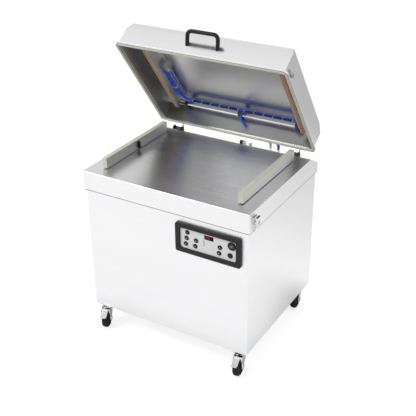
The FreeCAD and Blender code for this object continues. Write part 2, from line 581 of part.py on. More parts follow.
def make_handle():
    """Bow handle of one bent bar that leans up from the lid's front wall."""
    span, reach, bend = size("handle_span"), size("handle_reach"), size("handle_bend")
    thick, wide = size("handle_thick"), size("handle_wide")
    legs = [Vector(-span / 2, 0, 0), Vector(-span / 2, -reach, 0), Vector(span / 2, -reach, 0),
            Vector(span / 2, 0, 0)]
    turn = bend * math.sqrt(0.5)
    left_mid = Vector(-span / 2 + bend - turn, -reach + bend - turn, 0)
    right_mid = Vector(span / 2 - bend + turn, -reach + bend - turn, 0)
    left_leg, left_top = legs[1] + Vector(0, bend, 0), legs[1] + Vector(bend, 0, 0)
    right_top, right_leg = legs[2] - Vector(bend, 0, 0), legs[2] + Vector(0, bend, 0)
    spine = Part.Wire([
        Part.LineSegment(legs[0], left_leg).toShape(), Part.Arc(left_leg, left_mid, left_top).toShape(),
        Part.LineSegment(left_top, right_top).toShape(),
        Part.Arc(right_top, right_mid, right_leg).toShape(),
        Part.LineSegment(right_leg, legs[3]).toShape(),
    ])
    section = Part.Ellipse(Vector(-span / 2, 0, 0), wide / 2, thick / 2).toShape()
    section.rotate(Vector(-span / 2, 0, 0), Vector(1, 0, 0), 90)
    bow = spine.makePipeShell([Part.Wire([section])], True, False)
    # The legs start behind the wall's face and are trimmed square to it.
    front = -size("hinge_setback") - size("lid_length") + size("end_flange")
    level = size("hinge_drop") + size("gasket_height") + size("fit_gap") + size("handle_height")
    bow.translate(Vector(0, wide, 0))
    bow.rotate(Vector(), Vector(1, 0, 0), -size("handle_tilt"))
    bow.translate(Vector(0, front, level))
    far = span + reach
    room = Part.makeBox(2 * far, far, 2 * far, Vector(-far, front - far, level - far))
    feet = [Part.makeCylinder(wide * 0.62, wide / 5, Vector(side * span / 2, front, level),
                              Vector(0, -1, 0))
            for side in (-1, 1)]
    bow = bow.common(room).multiFuse(feet).removeSplitter()
    node("lid_handle", on_lid(solid("lid_handle", bow)))


def make_counter_bars():
    """Aluminium rails under the lid's roof, each holding a silicone strip over a seal bar."""
    roof = RIM_Z + " + lid_wall + chamfer_rise - lid_sheet"
    foot = RIM_Z + " + counter_level + strip_height / 3"
    top = foot + " + counter_channel"
    rails, strips = [], []
    y0 = RIM_Y + " - counter_rear - (seal_length - counter_rear / 10)"
    for side, sign, mark in SIDES:
        c = mark + "seal_spread"
        half = "counter_width / 2"
        slot = "(strip_width / 2 + running_gap)"
        rail = extrusion("counter_rail_" + side, "y", [
            (c + " - counter_flange / 2", roof), (c + " - counter_flange / 2", roof + " - counter_sheet"),
            (c + " - counter_web / 2", roof + " - counter_sheet"), (c + " - counter_web / 2", top),
            (c + " - " + half, top), (c + " - " + half, foot), (c + " - " + slot, foot),
            (c + " - " + slot, foot + " + strip_height * 2 / 3"),
            (c + " + " + slot, foot + " + strip_height * 2 / 3"),
            (c + " + " + slot, foot), (c + " + " + half, foot), (c + " + " + half, top),
            (c + " + counter_web / 2", top), (c + " + counter_web / 2", roof + " - counter_sheet"),
            (c + " + counter_flange / 2", roof + " - counter_sheet"), (c + " + counter_flange / 2", roof),
        ], "seal_length - counter_rear / 10", ("0", RIM_Y + " - counter_rear", "0"))
        rails.append(rail)
        strips.append(slab("strip_" + side, ("strip_width", "seal_length - counter_rear / 10",
                                             "strip_height"),
                           (c + " - strip_width / 2", y0, RIM_Z + " + counter_level"), "strip_width / 8"))
    node("counter_bars", on_lid(group("counter_bars", *rails)))
    node("silicone_strips", on_lid(group("silicone_strips", *strips)))


SADDLES = (("-pipe_half_length", False), ("0", True), ("pipe_half_length", True))


def make_gas_pipes():
    """Gas pipe across the rear of the lid, the blue hose beside it and the saddles that hold both."""
    pipe_y, pipe_z = RIM_Y + " - pipe_setback", RIM_Z + " + pipe_level"
    hose_y, hose_z = RIM_Y + " - hose_setback", RIM_Z + " + hose_level"
    tube = rod("pipe_tube", "pipe_radius", "2 * pipe_half_length + saddle_width",
               ("-pipe_half_length - saddle_width / 2", pipe_y, pipe_z), "x")
    nozzles = [rod("nozzle_%d" % k, "pipe_radius * 0.45", "pipe_radius + nozzle_reach",
                   ("pipe_half_length * (%d * 2 / (nozzle_count - 1) - 1) * 0.9" % k,
                    pipe_y + " - pipe_radius - nozzle_reach", pipe_z), "y")
               for k in range(int(size("nozzle_count")))]
    node("gas_pipe", on_lid(fuse("gas_pipe", tube, *nozzles)))

    rim_y = -size("hinge_setback")
    rim_z = size("hinge_drop") + size("gasket_height") + size("fit_gap")
    across = rim_y - size("hose_setback")
    level = rim_z + size("hose_level")
    side = -size("hose_side")
    start = rim_y - size("hose_start")
    bend = size("hose_bend")
    end = size("pipe_half_length") + size("saddle_width") / 2
    points = [
        Vector(side, start, level), Vector(side, across - 2 * bend, level),
        Vector(side + bend / 2, across - bend / 2, level),
        Vector(side + 2 * bend, across, level), Vector(end, across, level),
    ]
    hose = route_tube("gas_hose", points, size("hose_radius"))
    node("gas_hose", on_lid(hose))

    # A thin branch leaves the hose's underside and turns into the rear wall.
    wall = rim_y - size("end_flange") - size("lid_sheet") - size("fit_gap")
    low = rim_z + size("branch_level")
    x0 = size("branch_place")
    x1 = x0 + size("branch_lean")
    branch = route_tube("branch_hose", [
        Vector(x0, across, level - size("hose_radius") - size("fit_gap")),
        Vector(x0, rim_y - size("branch_setback"), low + size("branch_rise")),
        Vector(x1, wall - size("branch_run"), low), Vector(x1, wall, low),
    ], size("branch_radius"))
    node("branch_hose", on_lid(branch))

    saddles = []
    wall = RIM_Y + " - end_flange - lid_sheet"
    lean = "chamfer_rear / chamfer_rise"
    pipe_low = RIM_Z + " + pipe_level - pipe_radius - saddle_margin"
    hose_top = "hose_level + hose_radius + saddle_margin"
    pipe_top = "pipe_level + pipe_radius + saddle_margin"
    pipe_front = pipe_y + " - pipe_radius - saddle_margin"
    hose_front = hose_y + " - hose_radius - saddle_margin"
    for k, (along, holds_hose) in enumerate(SADDLES):
        top = hose_top if holds_hose else pipe_top
        outline = [
            (wall, pipe_low), (wall, RIM_Z + " + lid_wall - fit_gap"),
            (wall + " - (" + top + " - lid_wall) * " + lean + " - lid_sheet", RIM_Z + " + " + top),
        ]
        if holds_hose:
            outline.append((hose_front, RIM_Z + " + " + top))
            outline.append((hose_front, RIM_Z + " + hose_level - hose_radius - saddle_margin"))
        else:
            outline.append((pipe_front, RIM_Z + " + " + top))
        outline.append((pipe_front, pipe_low))
        plate = extrusion("saddle_plate_%d" % k, "x", outline, "saddle_width",
                          (along + " - saddle_width / 2", "0", "0"))
        holes = [rod("saddle_pipe_%d" % k, "pipe_radius + running_gap", "2 * saddle_width",
                     (along + " - saddle_width", pipe_y, pipe_z), "x")]
        if holds_hose:
            holes.append(rod("saddle_hose_%d" % k, "hose_radius + running_gap", "2 * saddle_width",
                             (along + " - saddle_width", hose_y, hose_z), "x"))
        saddles.append(cut("saddle_%d" % k, plate, *holes))

    # The hose's far end sits in an inlet block under the roof.
    half = "(hose_radius + saddle_margin)"
    inlet_y = RIM_Y + " - hose_start - saddle_width"
    tall = "lid_wall + chamfer_rise - lid_sheet - hose_level + " + half
    inlet = box("inlet_block", ("2 * " + half, "2 * saddle_width", tall),
                ("-hose_side - " + half, inlet_y, RIM_Z + " + hose_level - " + half))
    socket = rod("inlet_socket", "hose_radius + running_gap", "2 * saddle_width",
                 ("-hose_side", RIM_Y + " - hose_start", hose_z), "y")
    saddles.append(cut("inlet", inlet, socket))
    node("pipe_saddles", on_lid(group("pipe_saddles", *saddles)))


def make_link_hoses():
    """Grey and blue hoses that bend from sockets on the rear slope up to the lid's rear wall."""
    steep = math.atan2(size("slope_drop"), size("slope_length"))
    out = Vector(0, math.sin(steep), math.cos(steep))
    foot_y = size("table_depth") / 2 - size("slope_length") + size("socket_setback")
    table = size("castor_height") + size("cabinet_height") + size("apron_height")
    foot_z = table - size("socket_setback") * math.tan(steep)
    angle = math.radians(size("lid_open_angle"))
    hinge_y = size("table_depth") / 2 - size("slope_length") + size("hinge_setback")
    hinge_z = table - size("hinge_drop")
    rim_y = -size("hinge_setback")
    rim_z = size("hinge_drop") + size("gasket_height") + size("fit_gap")

    def opened(y, z):
        along, up = math.cos(angle), math.sin(angle)
        return hinge_y + y * along + z * up, hinge_z - y * up + z * along

    sockets = []
    for colour in ("grey", "blue"):
        radius, x0 = size(colour + "_hose_radius"), size(colour + "_hose_place")
        x1 = x0 - size("link_hose_lean")
        foot = Vector(x0, foot_y, foot_z)
        collar = Part.makeCylinder(radius + size("socket_wall"), size("socket_length"), foot, out)
        flange = Part.makeCylinder(radius + size("socket_flange"), size("socket_length") / 3, foot, out)
        collar = collar.fuse(flange)
        sockets.append(solid("socket_" + colour, collar.removeSplitter()))
        begin = foot + out * size("socket_length")
        y, z = opened(rim_y - size("end_flange"), rim_z + size("link_level"))
        end = Vector(x1, y, z)
        back = Vector(0, math.cos(angle), -math.sin(angle))
        first = begin + out * size("socket_run")
        last = end + back * size("wall_run")
        node("link_hose_" + colour, route_tube("link_hose_" + colour, [begin, first, last, end], radius))
    node("hose_sockets", group("hose_sockets", *sockets))


def make_seal_bars():
    """Lifting seal bars with their covers and bag clips, and the lift cups under the table."""
    cups = []
    base = TABLE + " + seal_gap"
    for side, sign, mark in SIDES:
        x0 = mark + "seal_spread - seal_width / 2"
        bar = box("bar_" + side, ("seal_width", "seal_length - 2 * cover_sheet",
                                  "seal_height - cover_sheet"),
                  (x0, "-seal_front + cover_sheet", base))
        groove = box("bar_groove_" + side, ("seal_width * 0.3", "seal_length * 2",
                                            "seal_width * 0.3 + cover_sheet"),
                     (mark + "seal_spread - seal_width * 0.15", "-seal_length", base + " - cover_sheet"))
        pins = [rod("pin_%s_%s" % (side, end), "lift_pin_radius", "lift_pin_length",
                    (mark + "seal_spread", along, base + " - lift_pin_length + seal_width * 0.3"))
                for end, along in lift_pin_ends()]
        node("seal_bar_" + side, fuse("seal_bar_" + side, cut("bar_grooved_" + side, bar, groove), *pins))
        cover = box("cover_outer_" + side, ("seal_width", "seal_length", "seal_height"),
                    (x0, "-seal_front", base))
        room = box("cover_room_" + side, ("seal_width * 2", "seal_length - 2 * cover_sheet", "seal_height"),
                   (x0 + " - seal_width / 2", "-seal_front + cover_sheet", base + " - cover_sheet"))
        node("seal_cover_" + side, cut("seal_cover_" + side, cover, room))
        for end, along in lift_pin_ends():
            top = TABLE + " - table_sheet"
            cup = rod("cup_body_%s_%s" % (side, end), "lift_cup_radius", "lift_cup_height",
                      (mark + "seal_spread", along, top + " - lift_cup_height"))
            foot = rod("cup_foot_%s_%s" % (side, end), "lift_cup_radius * 0.4", "lift_cup_height * 0.3",
                       (mark + "seal_spread", along, top + " - lift_cup_height * 1.3"))
            bore = rod("cup_bore_%s_%s" % (side, end), "lift_pin_radius + running_gap",
                       "lift_pin_length * 2",
                       (mark + "seal_spread", along,
                        base + " - lift_pin_length + seal_width * 0.3 - running_gap"))
            cups.append(cut("cup_%s_%s" % (side, end), fuse("cup_raw_%s_%s" % (side, end), cup, foot),
                            bore))
        inner = ("+" if sign < 0 else "-")
        face = mark + "seal_spread " + inner + " seal_width / 2"
        low = base + " + (seal_height - cover_sheet - clip_height) / 2"
        reach = inner + " clip_reach"
        clip = extrusion("bag_clip_" + side, "y", [
            (face, low), (face + reach, low), (face + reach, low + " + clip_height * 0.35"),
            (face + reach + " * 0.6", low + " + clip_height * 0.35"),
            (face + reach + " * 0.6", low + " + clip_sheet"),
            (face + reach + " * 0.36", low + " + clip_sheet"),
            (face + reach + " * 0.36", low + " + clip_height * 0.5"),
            (face + reach, low + " + clip_height * 0.5"), (face + reach, low + " + clip_height * 0.9"),
            (face + reach + " * 0.6", low + " + clip_height * 0.9"),
            (face + reach + " * 0.6", low + " + clip_height * 0.5 + clip_sheet"),
            (face + reach + " * 0.36", low + " + clip_height * 0.5 + clip_sheet"),
            (face + reach + " * 0.36", low + " + clip_height"), (face, low + " + clip_height"),
        ], "clip_width", ("0", "-seal_front + seal_length / 2 + clip_width / 2", "0"))
        node("bag_clip_" + side, clip)
    node("lift_cups", group("lift_cups", *cups))


def button_places():
    """Each button's name, place on the plate and cap radius, in three leaning columns."""
    places = []
    for name, rows in (("left", (1, 0, -1)), ("middle", (0, -1)), ("right", (0, -1))):
        for k, row in enumerate(rows):
            x = "%s_column + row_slant * %d" % (name, row)
            places.append(("button_%s_%d" % (name, k + 1), x, "row_pitch * %d + row_lift" % row,
                           "button_radius"))
    places.append(("button_start", "start_place", "start_rise", "start_radius"))
    places.append(("button_stop", "stop_place", "stop_rise", "stop_radius"))
    return places


def make_control_panel():
    """Raised bezel, recessed plate with collars, display window, push buttons and the board behind."""
    bezel = slab("bezel_block", ("bezel_width", "bezel_height", "bezel_depth"),
                 ("-bezel_width / 2", "-bezel_height / 2", "0"), "bezel_corner")
    opening = slab("bezel_opening", ("plate_width", "plate_height", "3 * bezel_depth"),
                   ("-plate_width / 2", "-plate_height / 2", "-bezel_depth"), "plate_corner")
    seat = "(bezel_depth - plate_recess - plate_depth)"
    node("control_bezel", on_panel(cut("control_bezel", bezel, opening)))

    plate = slab("plate_block", ("plate_width - 2 * fit_gap", "plate_height - 2 * fit_gap", "plate_depth"),
                 ("-plate_width / 2 + fit_gap", "-plate_height / 2 + fit_gap", seat), "plate_corner")
    collars, holes = [], []
    for name, x, y, radius in button_places():
        collars.append(rod("collar_" + name, radius + " + fit_gap + collar_width", "collar_rise",
                           (x, y, seat + " + plate_depth")))
        holes.append(rod("hole_" + name, radius + " + fit_gap", "bezel_depth * 4", (x, y, "-bezel_depth")))
    window = ("window_width", "window_height", "bezel_depth * 4")
    pane_at = ("window_shift - window_width / 2", "window_rise - window_height / 2", "-bezel_depth")
    holes.append(box("window_hole", window, pane_at))
    node("control_plate", on_panel(cut("control_plate", fuse("plate_collared", plate, *collars), *holes)))

    pane = slab("window_pane", ("window_width - 2 * fit_gap", "window_height - 2 * fit_gap",
                                "plate_depth + window_proud"),
                ("window_shift - window_width / 2 + fit_gap", "window_rise - window_height / 2 + fit_gap",
                 seat),
                "window_corner")
    node("display_window", on_panel(pane))

    for name, x, y, radius in button_places():
        cap = rod("cap_" + name, radius, "plate_depth + collar_rise + button_proud", (x, y, seat))
        skirt = rod("skirt_" + name, radius + " + skirt_reach", "skirt_sheet",
                    (x, y, seat + " - skirt_sheet - fit_gap"))
        neck = rod("neck_" + name, radius, "fit_gap", (x, y, seat + " - fit_gap"))
        node(name, on_panel(fuse(name, cap, neck, skirt)))

    board = box("board_sheet_plate", ("plate_width * 0.9", "plate_height * 0.9", "board_sheet"),
                ("-plate_width * 0.45", "-plate_height * 0.45", seat + " - board_gap - board_sheet"))
    chips = [box("chip_%d" % k, ("chip_width", "chip_depth", "chip_height"),
                 ("-plate_width * 0.4 + plate_width * 0.2 * %d" % k, "-chip_depth / 2",
                  seat + " - board_gap - board_sheet - chip_height"))
             for k in range(4)]
    posts = [rod("post_%d_%d" % (i, k), "post_radius", "board_gap + post_seat",
                 ("plate_width * %0.2f" % (0.3 * i), "plate_height * %0.2f" % (0.42 * k),
                  seat + " - board_gap - post_seat"))
             for i in (-1, 1) for k in (-1, 1)]
    node("control_board", on_panel(fuse("control_board", board, *(chips + posts))))


def on_panel(item):
    """Stand a flat panel piece up on the cabinet's front, its face to the front."""
    return place(item, ("panel_place", CABINET_FRONT, PANEL_Z), Rotation(Vector(1, 0, 0), 90))


def make_latch():
    """Latch housing on the right of the apron and its swinging lever."""
    side = "table_width / 2"
    low = TABLE + " - latch_drop - latch_height"
    y0 = "-latch_place - latch_width / 2"
    plate = box("latch_plate", ("latch_sheet", "latch_width", "latch_height"), (side, y0, low))
    ears = [box("latch_ear_%d" % k, ("latch_depth * 0.55", "latch_sheet", "latch_height * 0.5"),
                (side, at, low))
            for k, at in enumerate((y0, y0 + " + latch_width - latch_sheet"))]
    pivot_x, pivot_z = side + " + latch_depth * 0.35", low + " + latch_pivot_rise"
    bore = rod("latch_bore", "latch_pin_radius + running_gap", "latch_width * 2",
               (pivot_x, y0 + " - latch_width / 2", pivot_z), "y")
    node("latch_base", cut("latch_base", fuse("latch_base_raw", plate, *ears), bore))

    inside = "(latch_width - 2 * latch_sheet - 2 * fit_gap)"
    lever_y = "-latch_place + " + inside + " / 2"
    lever = extrusion("lever_body", "y", [
        (pivot_x, pivot_z), (pivot_x + " - latch_barrel * 0.9", pivot_z + " + latch_height * 0.42"),
        (side + " + latch_depth * 0.55", pivot_z + " + latch_height * 0.5"),
        (side + " + latch_depth * 0.55", low + " + latch_height"),
        (side + " + latch_depth", low + " + latch_height"),
        (side + " + latch_depth", low + " + latch_height * 0.5"),
        (pivot_x + " + latch_barrel * 0.9", pivot_z),
    ], inside, ("0", lever_y, "0"))
    barrel = rod("lever_barrel", "latch_barrel", inside,
                 (pivot_x, "-latch_place - " + inside + " / 2", pivot_z), "y")
    slot = slab("lever_slot", ("latch_width * 0.3", "latch_height * 0.3", "latch_depth * 2"),
                ("-latch_width * 0.15", "0", "0"), "latch_width * 0.14")
    place(slot, (side + " - latch_depth / 2", "-latch_place", low + " + latch_height * 0.42"),
          Rotation(Vector(0, 1, 0), Vector(0, 0, 1), Vector(1, 0, 0)))
    pin = rod("lever_pin", "latch_pin_radius", "latch_width - 2 * running_gap",
              (pivot_x, y0 + " + running_gap", pivot_z), "y")
    node("latch_lever", fuse("latch_lever", cut("lever_slotted", lever, slot), barrel, pin))


CASTORS = (
    ("front_left", "-castor_spread", "-castor_front", 22, True),
    ("front_right", "castor_spread", "-castor_front", 9, True),
    ("rear_left", "-castor_spread", "castor_rear", 12, False),
    ("rear_right", "castor_spread", "castor_rear", 8, False),
)


def make_castors():
    plates = []
    for name, x, y, turn, braked in CASTORS:
        spin = Rotation(Vector(0, 0, 1), turn)
        at = (x, y, "0")
        plates.append(place(castor_plate(name), at))
        node("castor_fork_" + name, place(castor_fork(name, braked), at, spin))
        node("castor_wheel_" + name, place(castor_wheel(name), at, spin))
        if braked:
            node("brake_pedal_" + name, place(brake_pedal(name), at, spin))
    node("castor_plates", group("castor_plates", *plates))


def castor_plate(name):
    """Square top plate with slotted corners and the king pin that the fork turns on."""
    top = "castor_height - plate_sheet"
    plate = slab("top_plate_" + name, ("castor_plate", "castor_plate", "plate_sheet"),
                 ("-castor_plate / 2", "-castor_plate / 2", top), "castor_plate / 10")
    holes = [rod("bolt_hole_%s_%d%d" % (name, i, k), "bolt_hole", "plate_sheet * 3",
                 ("castor_plate * %0.2f" % (0.38 * i), "castor_plate * %0.2f" % (0.38 * k),
                  top + " - plate_sheet"))
             for i in (-1, 1) for k in (-1, 1)]
    pin = rod("king_pin_" + name, "king_pin_radius", "head_height + plate_sheet",
              ("0", "0", top + " - head_height - plate_sheet / 2"))
    return fuse("plate_with_pin_" + name, cut("top_plate_holed_" + name, plate, *holes), pin)


def castor_fork(name, braked):
    """Swivel head, two raked legs and the axle bolt."""
    top = "(castor_height - plate_sheet - fit_gap)"
    under = "(castor_height - plate_sheet - fit_gap - head_height)"
    leg_x = "(wheel_width / 2 + fork_gap)"
    head = rod("head_" + name, "head_radius", "head_height", ("0", "0", under))
    bridge = box("bridge_" + name, ("2 * (" + leg_x + " + fork_sheet)", "head_radius * 1.7", "fork_sheet"),
                 ("-" + leg_x + " - fork_sheet", "-head_radius * 0.85", under))
    ear = "castor_trail + brake_ear" if braked else "castor_trail - leg_relief"
    legs = []
    for hand, x0 in (("a", "-" + leg_x + " - fork_sheet"), ("b", leg_x)):
        legs.append(extrusion("leg_%s_%s" % (name, hand), "x", [
            ("head_radius * 0.85", under), ("head_radius * 0.85", under + " + fork_sheet"),
            ("-(" + ear + ")", under + " + fork_sheet"), ("-(" + ear + ")", under + " - leg_skirt"),
            ("-castor_trail - leg_foot", "wheel_radius + leg_shoulder"),
            ("-castor_trail - leg_foot", "wheel_radius - leg_relief"),
            ("-castor_trail - leg_relief", "wheel_radius - leg_foot"),
            ("-castor_trail + leg_relief", "wheel_radius - leg_foot"),
            ("-castor_trail + leg_foot", "wheel_radius - leg_relief"),
            ("head_radius * 0.3", under + " - leg_root"),
        ], "fork_sheet", (x0, "0", "0")))
    bolt_half = "(" + leg_x + " + fork_sheet + nut_height)"
    axle = rod("axle_" + name, "axle_radius", "2 * " + bolt_half,
               ("-" + bolt_half, "-castor_trail", "wheel_radius"), "x")
    nuts = [rod("nut_%s_%d" % (name, k), "axle_radius + nut_margin", "nut_height",
                (x0, "-castor_trail", "wheel_radius"), "x")
            for k, x0 in enumerate(("-" + bolt_half, leg_x + " + fork_sheet"))]
    bore = rod("head_bore_" + name, "king_pin_radius + running_gap", "castor_height",
               ("0", "0", under + " - fork_sheet"))
    tools = [bore]
    if braked:
        tools.append(rod("pedal_bore_" + name, "pedal_pin + running_gap", "wheel_width * 3",
                         ("-wheel_width * 1.5", "-castor_trail - pedal_setback", under + " - pedal_drop"),
                         "x"))
    return cut("fork_" + name, fuse("fork_raw_" + name, head, bridge, axle, *(legs + nuts)), *tools)


def castor_wheel(name):
    """Tyre with a crowned tread on a dished hub."""
    half = "(wheel_width / 2)"
    tread = rod("tread_" + name, "wheel_radius", "wheel_width * 0.6",
                ("-wheel_width * 0.3", "-castor_trail", "wheel_radius"), "x")
    crowns = []
    for hand, x0, turn in (("a", "-" + half, -90), ("b", half, 90)):
        cone = doc.addObject("Part::Cone", "crown_%s_%s" % (name, hand))
        bind(cone, {"Radius1": "wheel_radius - wheel_width * 0.2", "Radius2": "wheel_radius",
                    "Height": "wheel_width * 0.2"})
        crowns.append(place(cone, (x0, "-castor_trail", "wheel_radius"), Rotation(Vector(0, 1, 0), -turn)))
    dishes = [rod("dish_%s_%s" % (name, hand), "hub_radius", "wheel_width * 0.12",
                  (x0, "-castor_trail", "wheel_radius"), "x")
              for hand, x0 in (("a", "-" + half), ("b", half + " - wheel_width * 0.12"))]
    boss = rod("boss_" + name, "axle_radius + boss_margin", "wheel_width + 2 * fork_gap - 2 * fit_gap",
               ("-" + half + " - fork_gap + fit_gap", "-castor_trail", "wheel_radius"), "x")
    bore = rod("wheel_bore_" + name, "axle_radius + running_gap", "wheel_width * 3",
               ("-wheel_width * 1.5", "-castor_trail", "wheel_radius"), "x")
    dished = cut("dished_" + name, fuse("tyre_" + name, tread, *crowns), *dishes)
    return cut("wheel_" + name, fuse("wheel_raw_" + name, dished, boss), bore)


def brake_pedal(name):
    """Foot pedal that swings down on a pin between the fork's legs."""
    pivot_y = "-castor_trail - pedal_setback"
    pivot_z = "castor_height - plate_sheet - fit_gap - head_height - pedal_drop"
    half = "(wheel_width / 2 + fork_gap - fit_gap)"
    high = pivot_z + " + pedal_lift"
    bend_y, toe_y = pivot_y + " - pedal_length * 0.75", pivot_y + " - pedal_length"
    tread = extrusion("pedal_plate_" + name, "x", [
        (pivot_y + " + pedal_heel", high), (pivot_y + " + pedal_heel", high + " + pedal_sheet"),
        (pivot_y + " - pedal_knee", high + " + pedal_sheet"),
        (bend_y, pivot_z + " - pedal_knee + pedal_sheet"),
        (toe_y, pivot_z + " - pedal_toe + pedal_sheet"), (toe_y, pivot_z + " - pedal_toe"),
        (bend_y, pivot_z + " - pedal_knee"), (pivot_y + " - pedal_knee", high),
    ], "pedal_width", ("-pedal_width / 2", "0", "0"))
    barrel = rod("pedal_barrel_" + name, "pedal_barrel", "2 * " + half, ("-" + half, pivot_y, pivot_z), "x")
    pin = rod("pedal_pin_" + name, "pedal_pin", "2 * (" + half + " + fork_sheet + pedal_rivet)",
              ("-" + half + " - fork_sheet - pedal_rivet", pivot_y, pivot_z), "x")
    return fuse("pedal_" + name, tread, barrel, pin)


def make_rear_fittings():
    """Cable gland on the rear panel and the lid switch on the slope."""
    back = "(table_depth / 2 - cabinet_inset)"
    at_z = "castor_height + inlet_height"
    nut = rod("gland_nut", "inlet_radius", "inlet_length * 0.4", ("-inlet_place", back, at_z), "y")
    dome = doc.addObject("Part::Cone", "gland_dome")
    bind(dome, {"Radius1": "inlet_radius * 0.9", "Radius2": "inlet_radius * 0.55",
                "Height": "inlet_length * 0.6"})
    place(dome, ("-inlet_place", back + " + inlet_length * 0.4", at_z), TURN["y"])
    thread = rod("gland_thread", "inlet_radius * 0.7 - running_gap", "inlet_length",
                 ("-inlet_place", back + " - inlet_length", at_z), "y")
    hole = rod("gland_bore", "inlet_radius * 0.35", "inlet_length * 4",
               ("-inlet_place", back + " - 2 * inlet_length", at_z), "y")
    node("cable_gland", cut("cable_gland", fuse("gland_raw", nut, dome, thread), hole))

    steep = "slope_drop / slope_length"
    y0, y1 = FLAT_END + " + switch_setback", FLAT_END + " + switch_setback + switch_depth"
    low = TABLE + " - switch_setback * " + steep
    ends = []
    halves = (
        ("switch_rise", "switch_width * 0.45", "switch_place - switch_width / 2"),
        ("switch_rise * 0.8", "switch_width * 0.16", "switch_place + switch_width * 0.34"),
    )
    for k, (rise, wide, at) in enumerate(halves):
        ends.append(extrusion("switch_end_%d" % k, "x", [
            (y0, low), (y0, low + " + " + rise), (y1, low + " + " + rise),
            (y1, low + " - switch_depth * " + steep),
        ], wide, (at, "0", "0")))
    plunger = rod("switch_plunger", "switch_depth * 0.3", "switch_width * 0.4",
                  ("switch_place - switch_width * 0.06", y0 + " + switch_depth / 2",
                   low + " + switch_rise * 0.45"), "x")
    node("lid_switch", fuse("lid_switch", plunger, *ends))


make_table_top()
make_cabinet()
make_inner_works()
make_control_panel()
make_hinges()
make_lid()
make_link_hoses()
make_seal_bars()
make_latch()
make_castors()
make_rear_fittings()

doc.recompute()
failed = [item.Label for item in doc.Objects if {"Invalid", "Error"} & set(item.State)]
for item in nodes:
    shape = item.Shape
    if shape.isNull() or not shape.isValid() or not shape.Solids:
        failed.append(item.Label)
if failed:
    raise RuntimeError("failed sub-parts: " + ", ".join(failed))

os.makedirs("parts", exist_ok=True)
for item in nodes:
    item.Shape.exportStep("parts/%s.step" % item.Label)
print(len(nodes), "sub-parts written")
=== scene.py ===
import math

import bmesh
import bpy
from mathutils import Matrix, Vector


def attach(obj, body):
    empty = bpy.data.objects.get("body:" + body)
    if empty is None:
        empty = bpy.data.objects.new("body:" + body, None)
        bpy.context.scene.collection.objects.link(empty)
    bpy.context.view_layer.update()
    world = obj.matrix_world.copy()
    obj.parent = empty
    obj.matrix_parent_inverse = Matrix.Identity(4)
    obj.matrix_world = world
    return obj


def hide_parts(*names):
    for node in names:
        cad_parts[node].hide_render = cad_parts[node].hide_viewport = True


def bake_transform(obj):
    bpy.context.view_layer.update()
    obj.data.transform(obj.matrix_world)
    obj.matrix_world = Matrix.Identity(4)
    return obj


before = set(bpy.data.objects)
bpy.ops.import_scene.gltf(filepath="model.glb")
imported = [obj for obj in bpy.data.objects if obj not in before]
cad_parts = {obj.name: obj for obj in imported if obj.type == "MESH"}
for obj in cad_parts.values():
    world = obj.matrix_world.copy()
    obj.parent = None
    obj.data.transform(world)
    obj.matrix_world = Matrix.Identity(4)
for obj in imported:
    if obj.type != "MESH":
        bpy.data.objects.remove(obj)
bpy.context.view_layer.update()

MM = 0.001

# Places on the machine, in metres
HINGE = Vector((0, 0.3195, 0.8504))
LID_OPEN = math.radians(53.9)
RIM = Vector((0, -0.0385, 0.0509))
LID_WIDTH = 0.900
LID_DEPTH = 0.645
PANEL = Vector((0.240, -0.358, 0.6785))
PLATE_FACE = 5.0 * MM
CAP_FACE = 9.1 * MM
PANE_FACE = 5.6 * MM
REAR_FACE = 0.358
APRON_FOOT = 0.788
PLATE_FOOT = 0.121
CORNERS = ("front_left", "front_right", "rear_left", "rear_right")
CASTOR_PLACES = ((-0.395, -0.322), (0.395, -0.322), (-0.395, 0.321), (0.395, 0.321))

# Places of the buttons on the panel
SMALL_BUTTONS = {
    "left_1": (-0.1076, 0.033), "left_2": (-0.112, 0.0025), "left_3": (-0.1164, -0.028),
    "middle_1": (-0.062, 0.0025), "middle_2": (-0.0664, -0.028),
    "right_1": (0.0625, 0.0025), "right_2": (0.0581, -0.028),
}
START_AT = (0.123, 0.026)
STOP_AT = (0.115, -0.0245)

# The camera of the photograph, which is 416 pixels wide
CAMERA_AT = Vector((1.8277, -3.0465, 2.5499))
CAMERA_AZIMUTH = math.radians(-30.576)
CAMERA_DIP = math.radians(28.378)
CAMERA_ROLL = math.radians(-0.539)
CAMERA_LENS = 69.8
SENSOR_WIDTH = 36

# From the closed lid's frame, whose origin is on the hinge, to the open lid and back
LID_PLACE = Matrix.Translation(HINGE) @ Matrix.Rotation(-LID_OPEN, 4, "X")
LID_CLOSED = LID_PLACE.inverted()
# From the panel's frame, whose Z points out of its face
PANEL_PLACE = Matrix.Translation(PANEL) @ Matrix.Rotation(math.pi / 2, 4, "X")


def in_lid(x, setback, level):
    """A point of the closed lid by its place along the hinge, from the rear edge and above the rim."""
    return Vector((x, RIM.y - setback, RIM.z + level))


def open_lid(x, setback, level):
    """The same point with the lid open."""
    return LID_PLACE @ in_lid(x, setback, level)


# Shader groups

# How much scratches and bands change the tone, and how much scratches change the roughness
SCRATCH_TONE = 0.22
BAND_TONE = 0.06
SCRATCH_ROUGH = 0.5
# The stretch of scratches along and across the brushing, and of the bands
ALONG = 2.2
ACROSS = 420
BAND_STRETCH = (0.8, 1.4, 9)
# How much moulded clouds change the tone and the roughness
CLOUD_TONE = 0.25
CLOUD_ROUGH = 0.3
# The normal's share from which a face counts as looking sideways or up
SIDEWAYS_FROM = 0.6
UPWARD_FROM = 0.75
# How strong the bump of brushed and two-part finishes is, and how deep scratches and moulded grain are
FAINT_BUMP = 0.05
SCRATCH_DEPTH = 0.0002
GRAIN_DEPTH = 0.0003


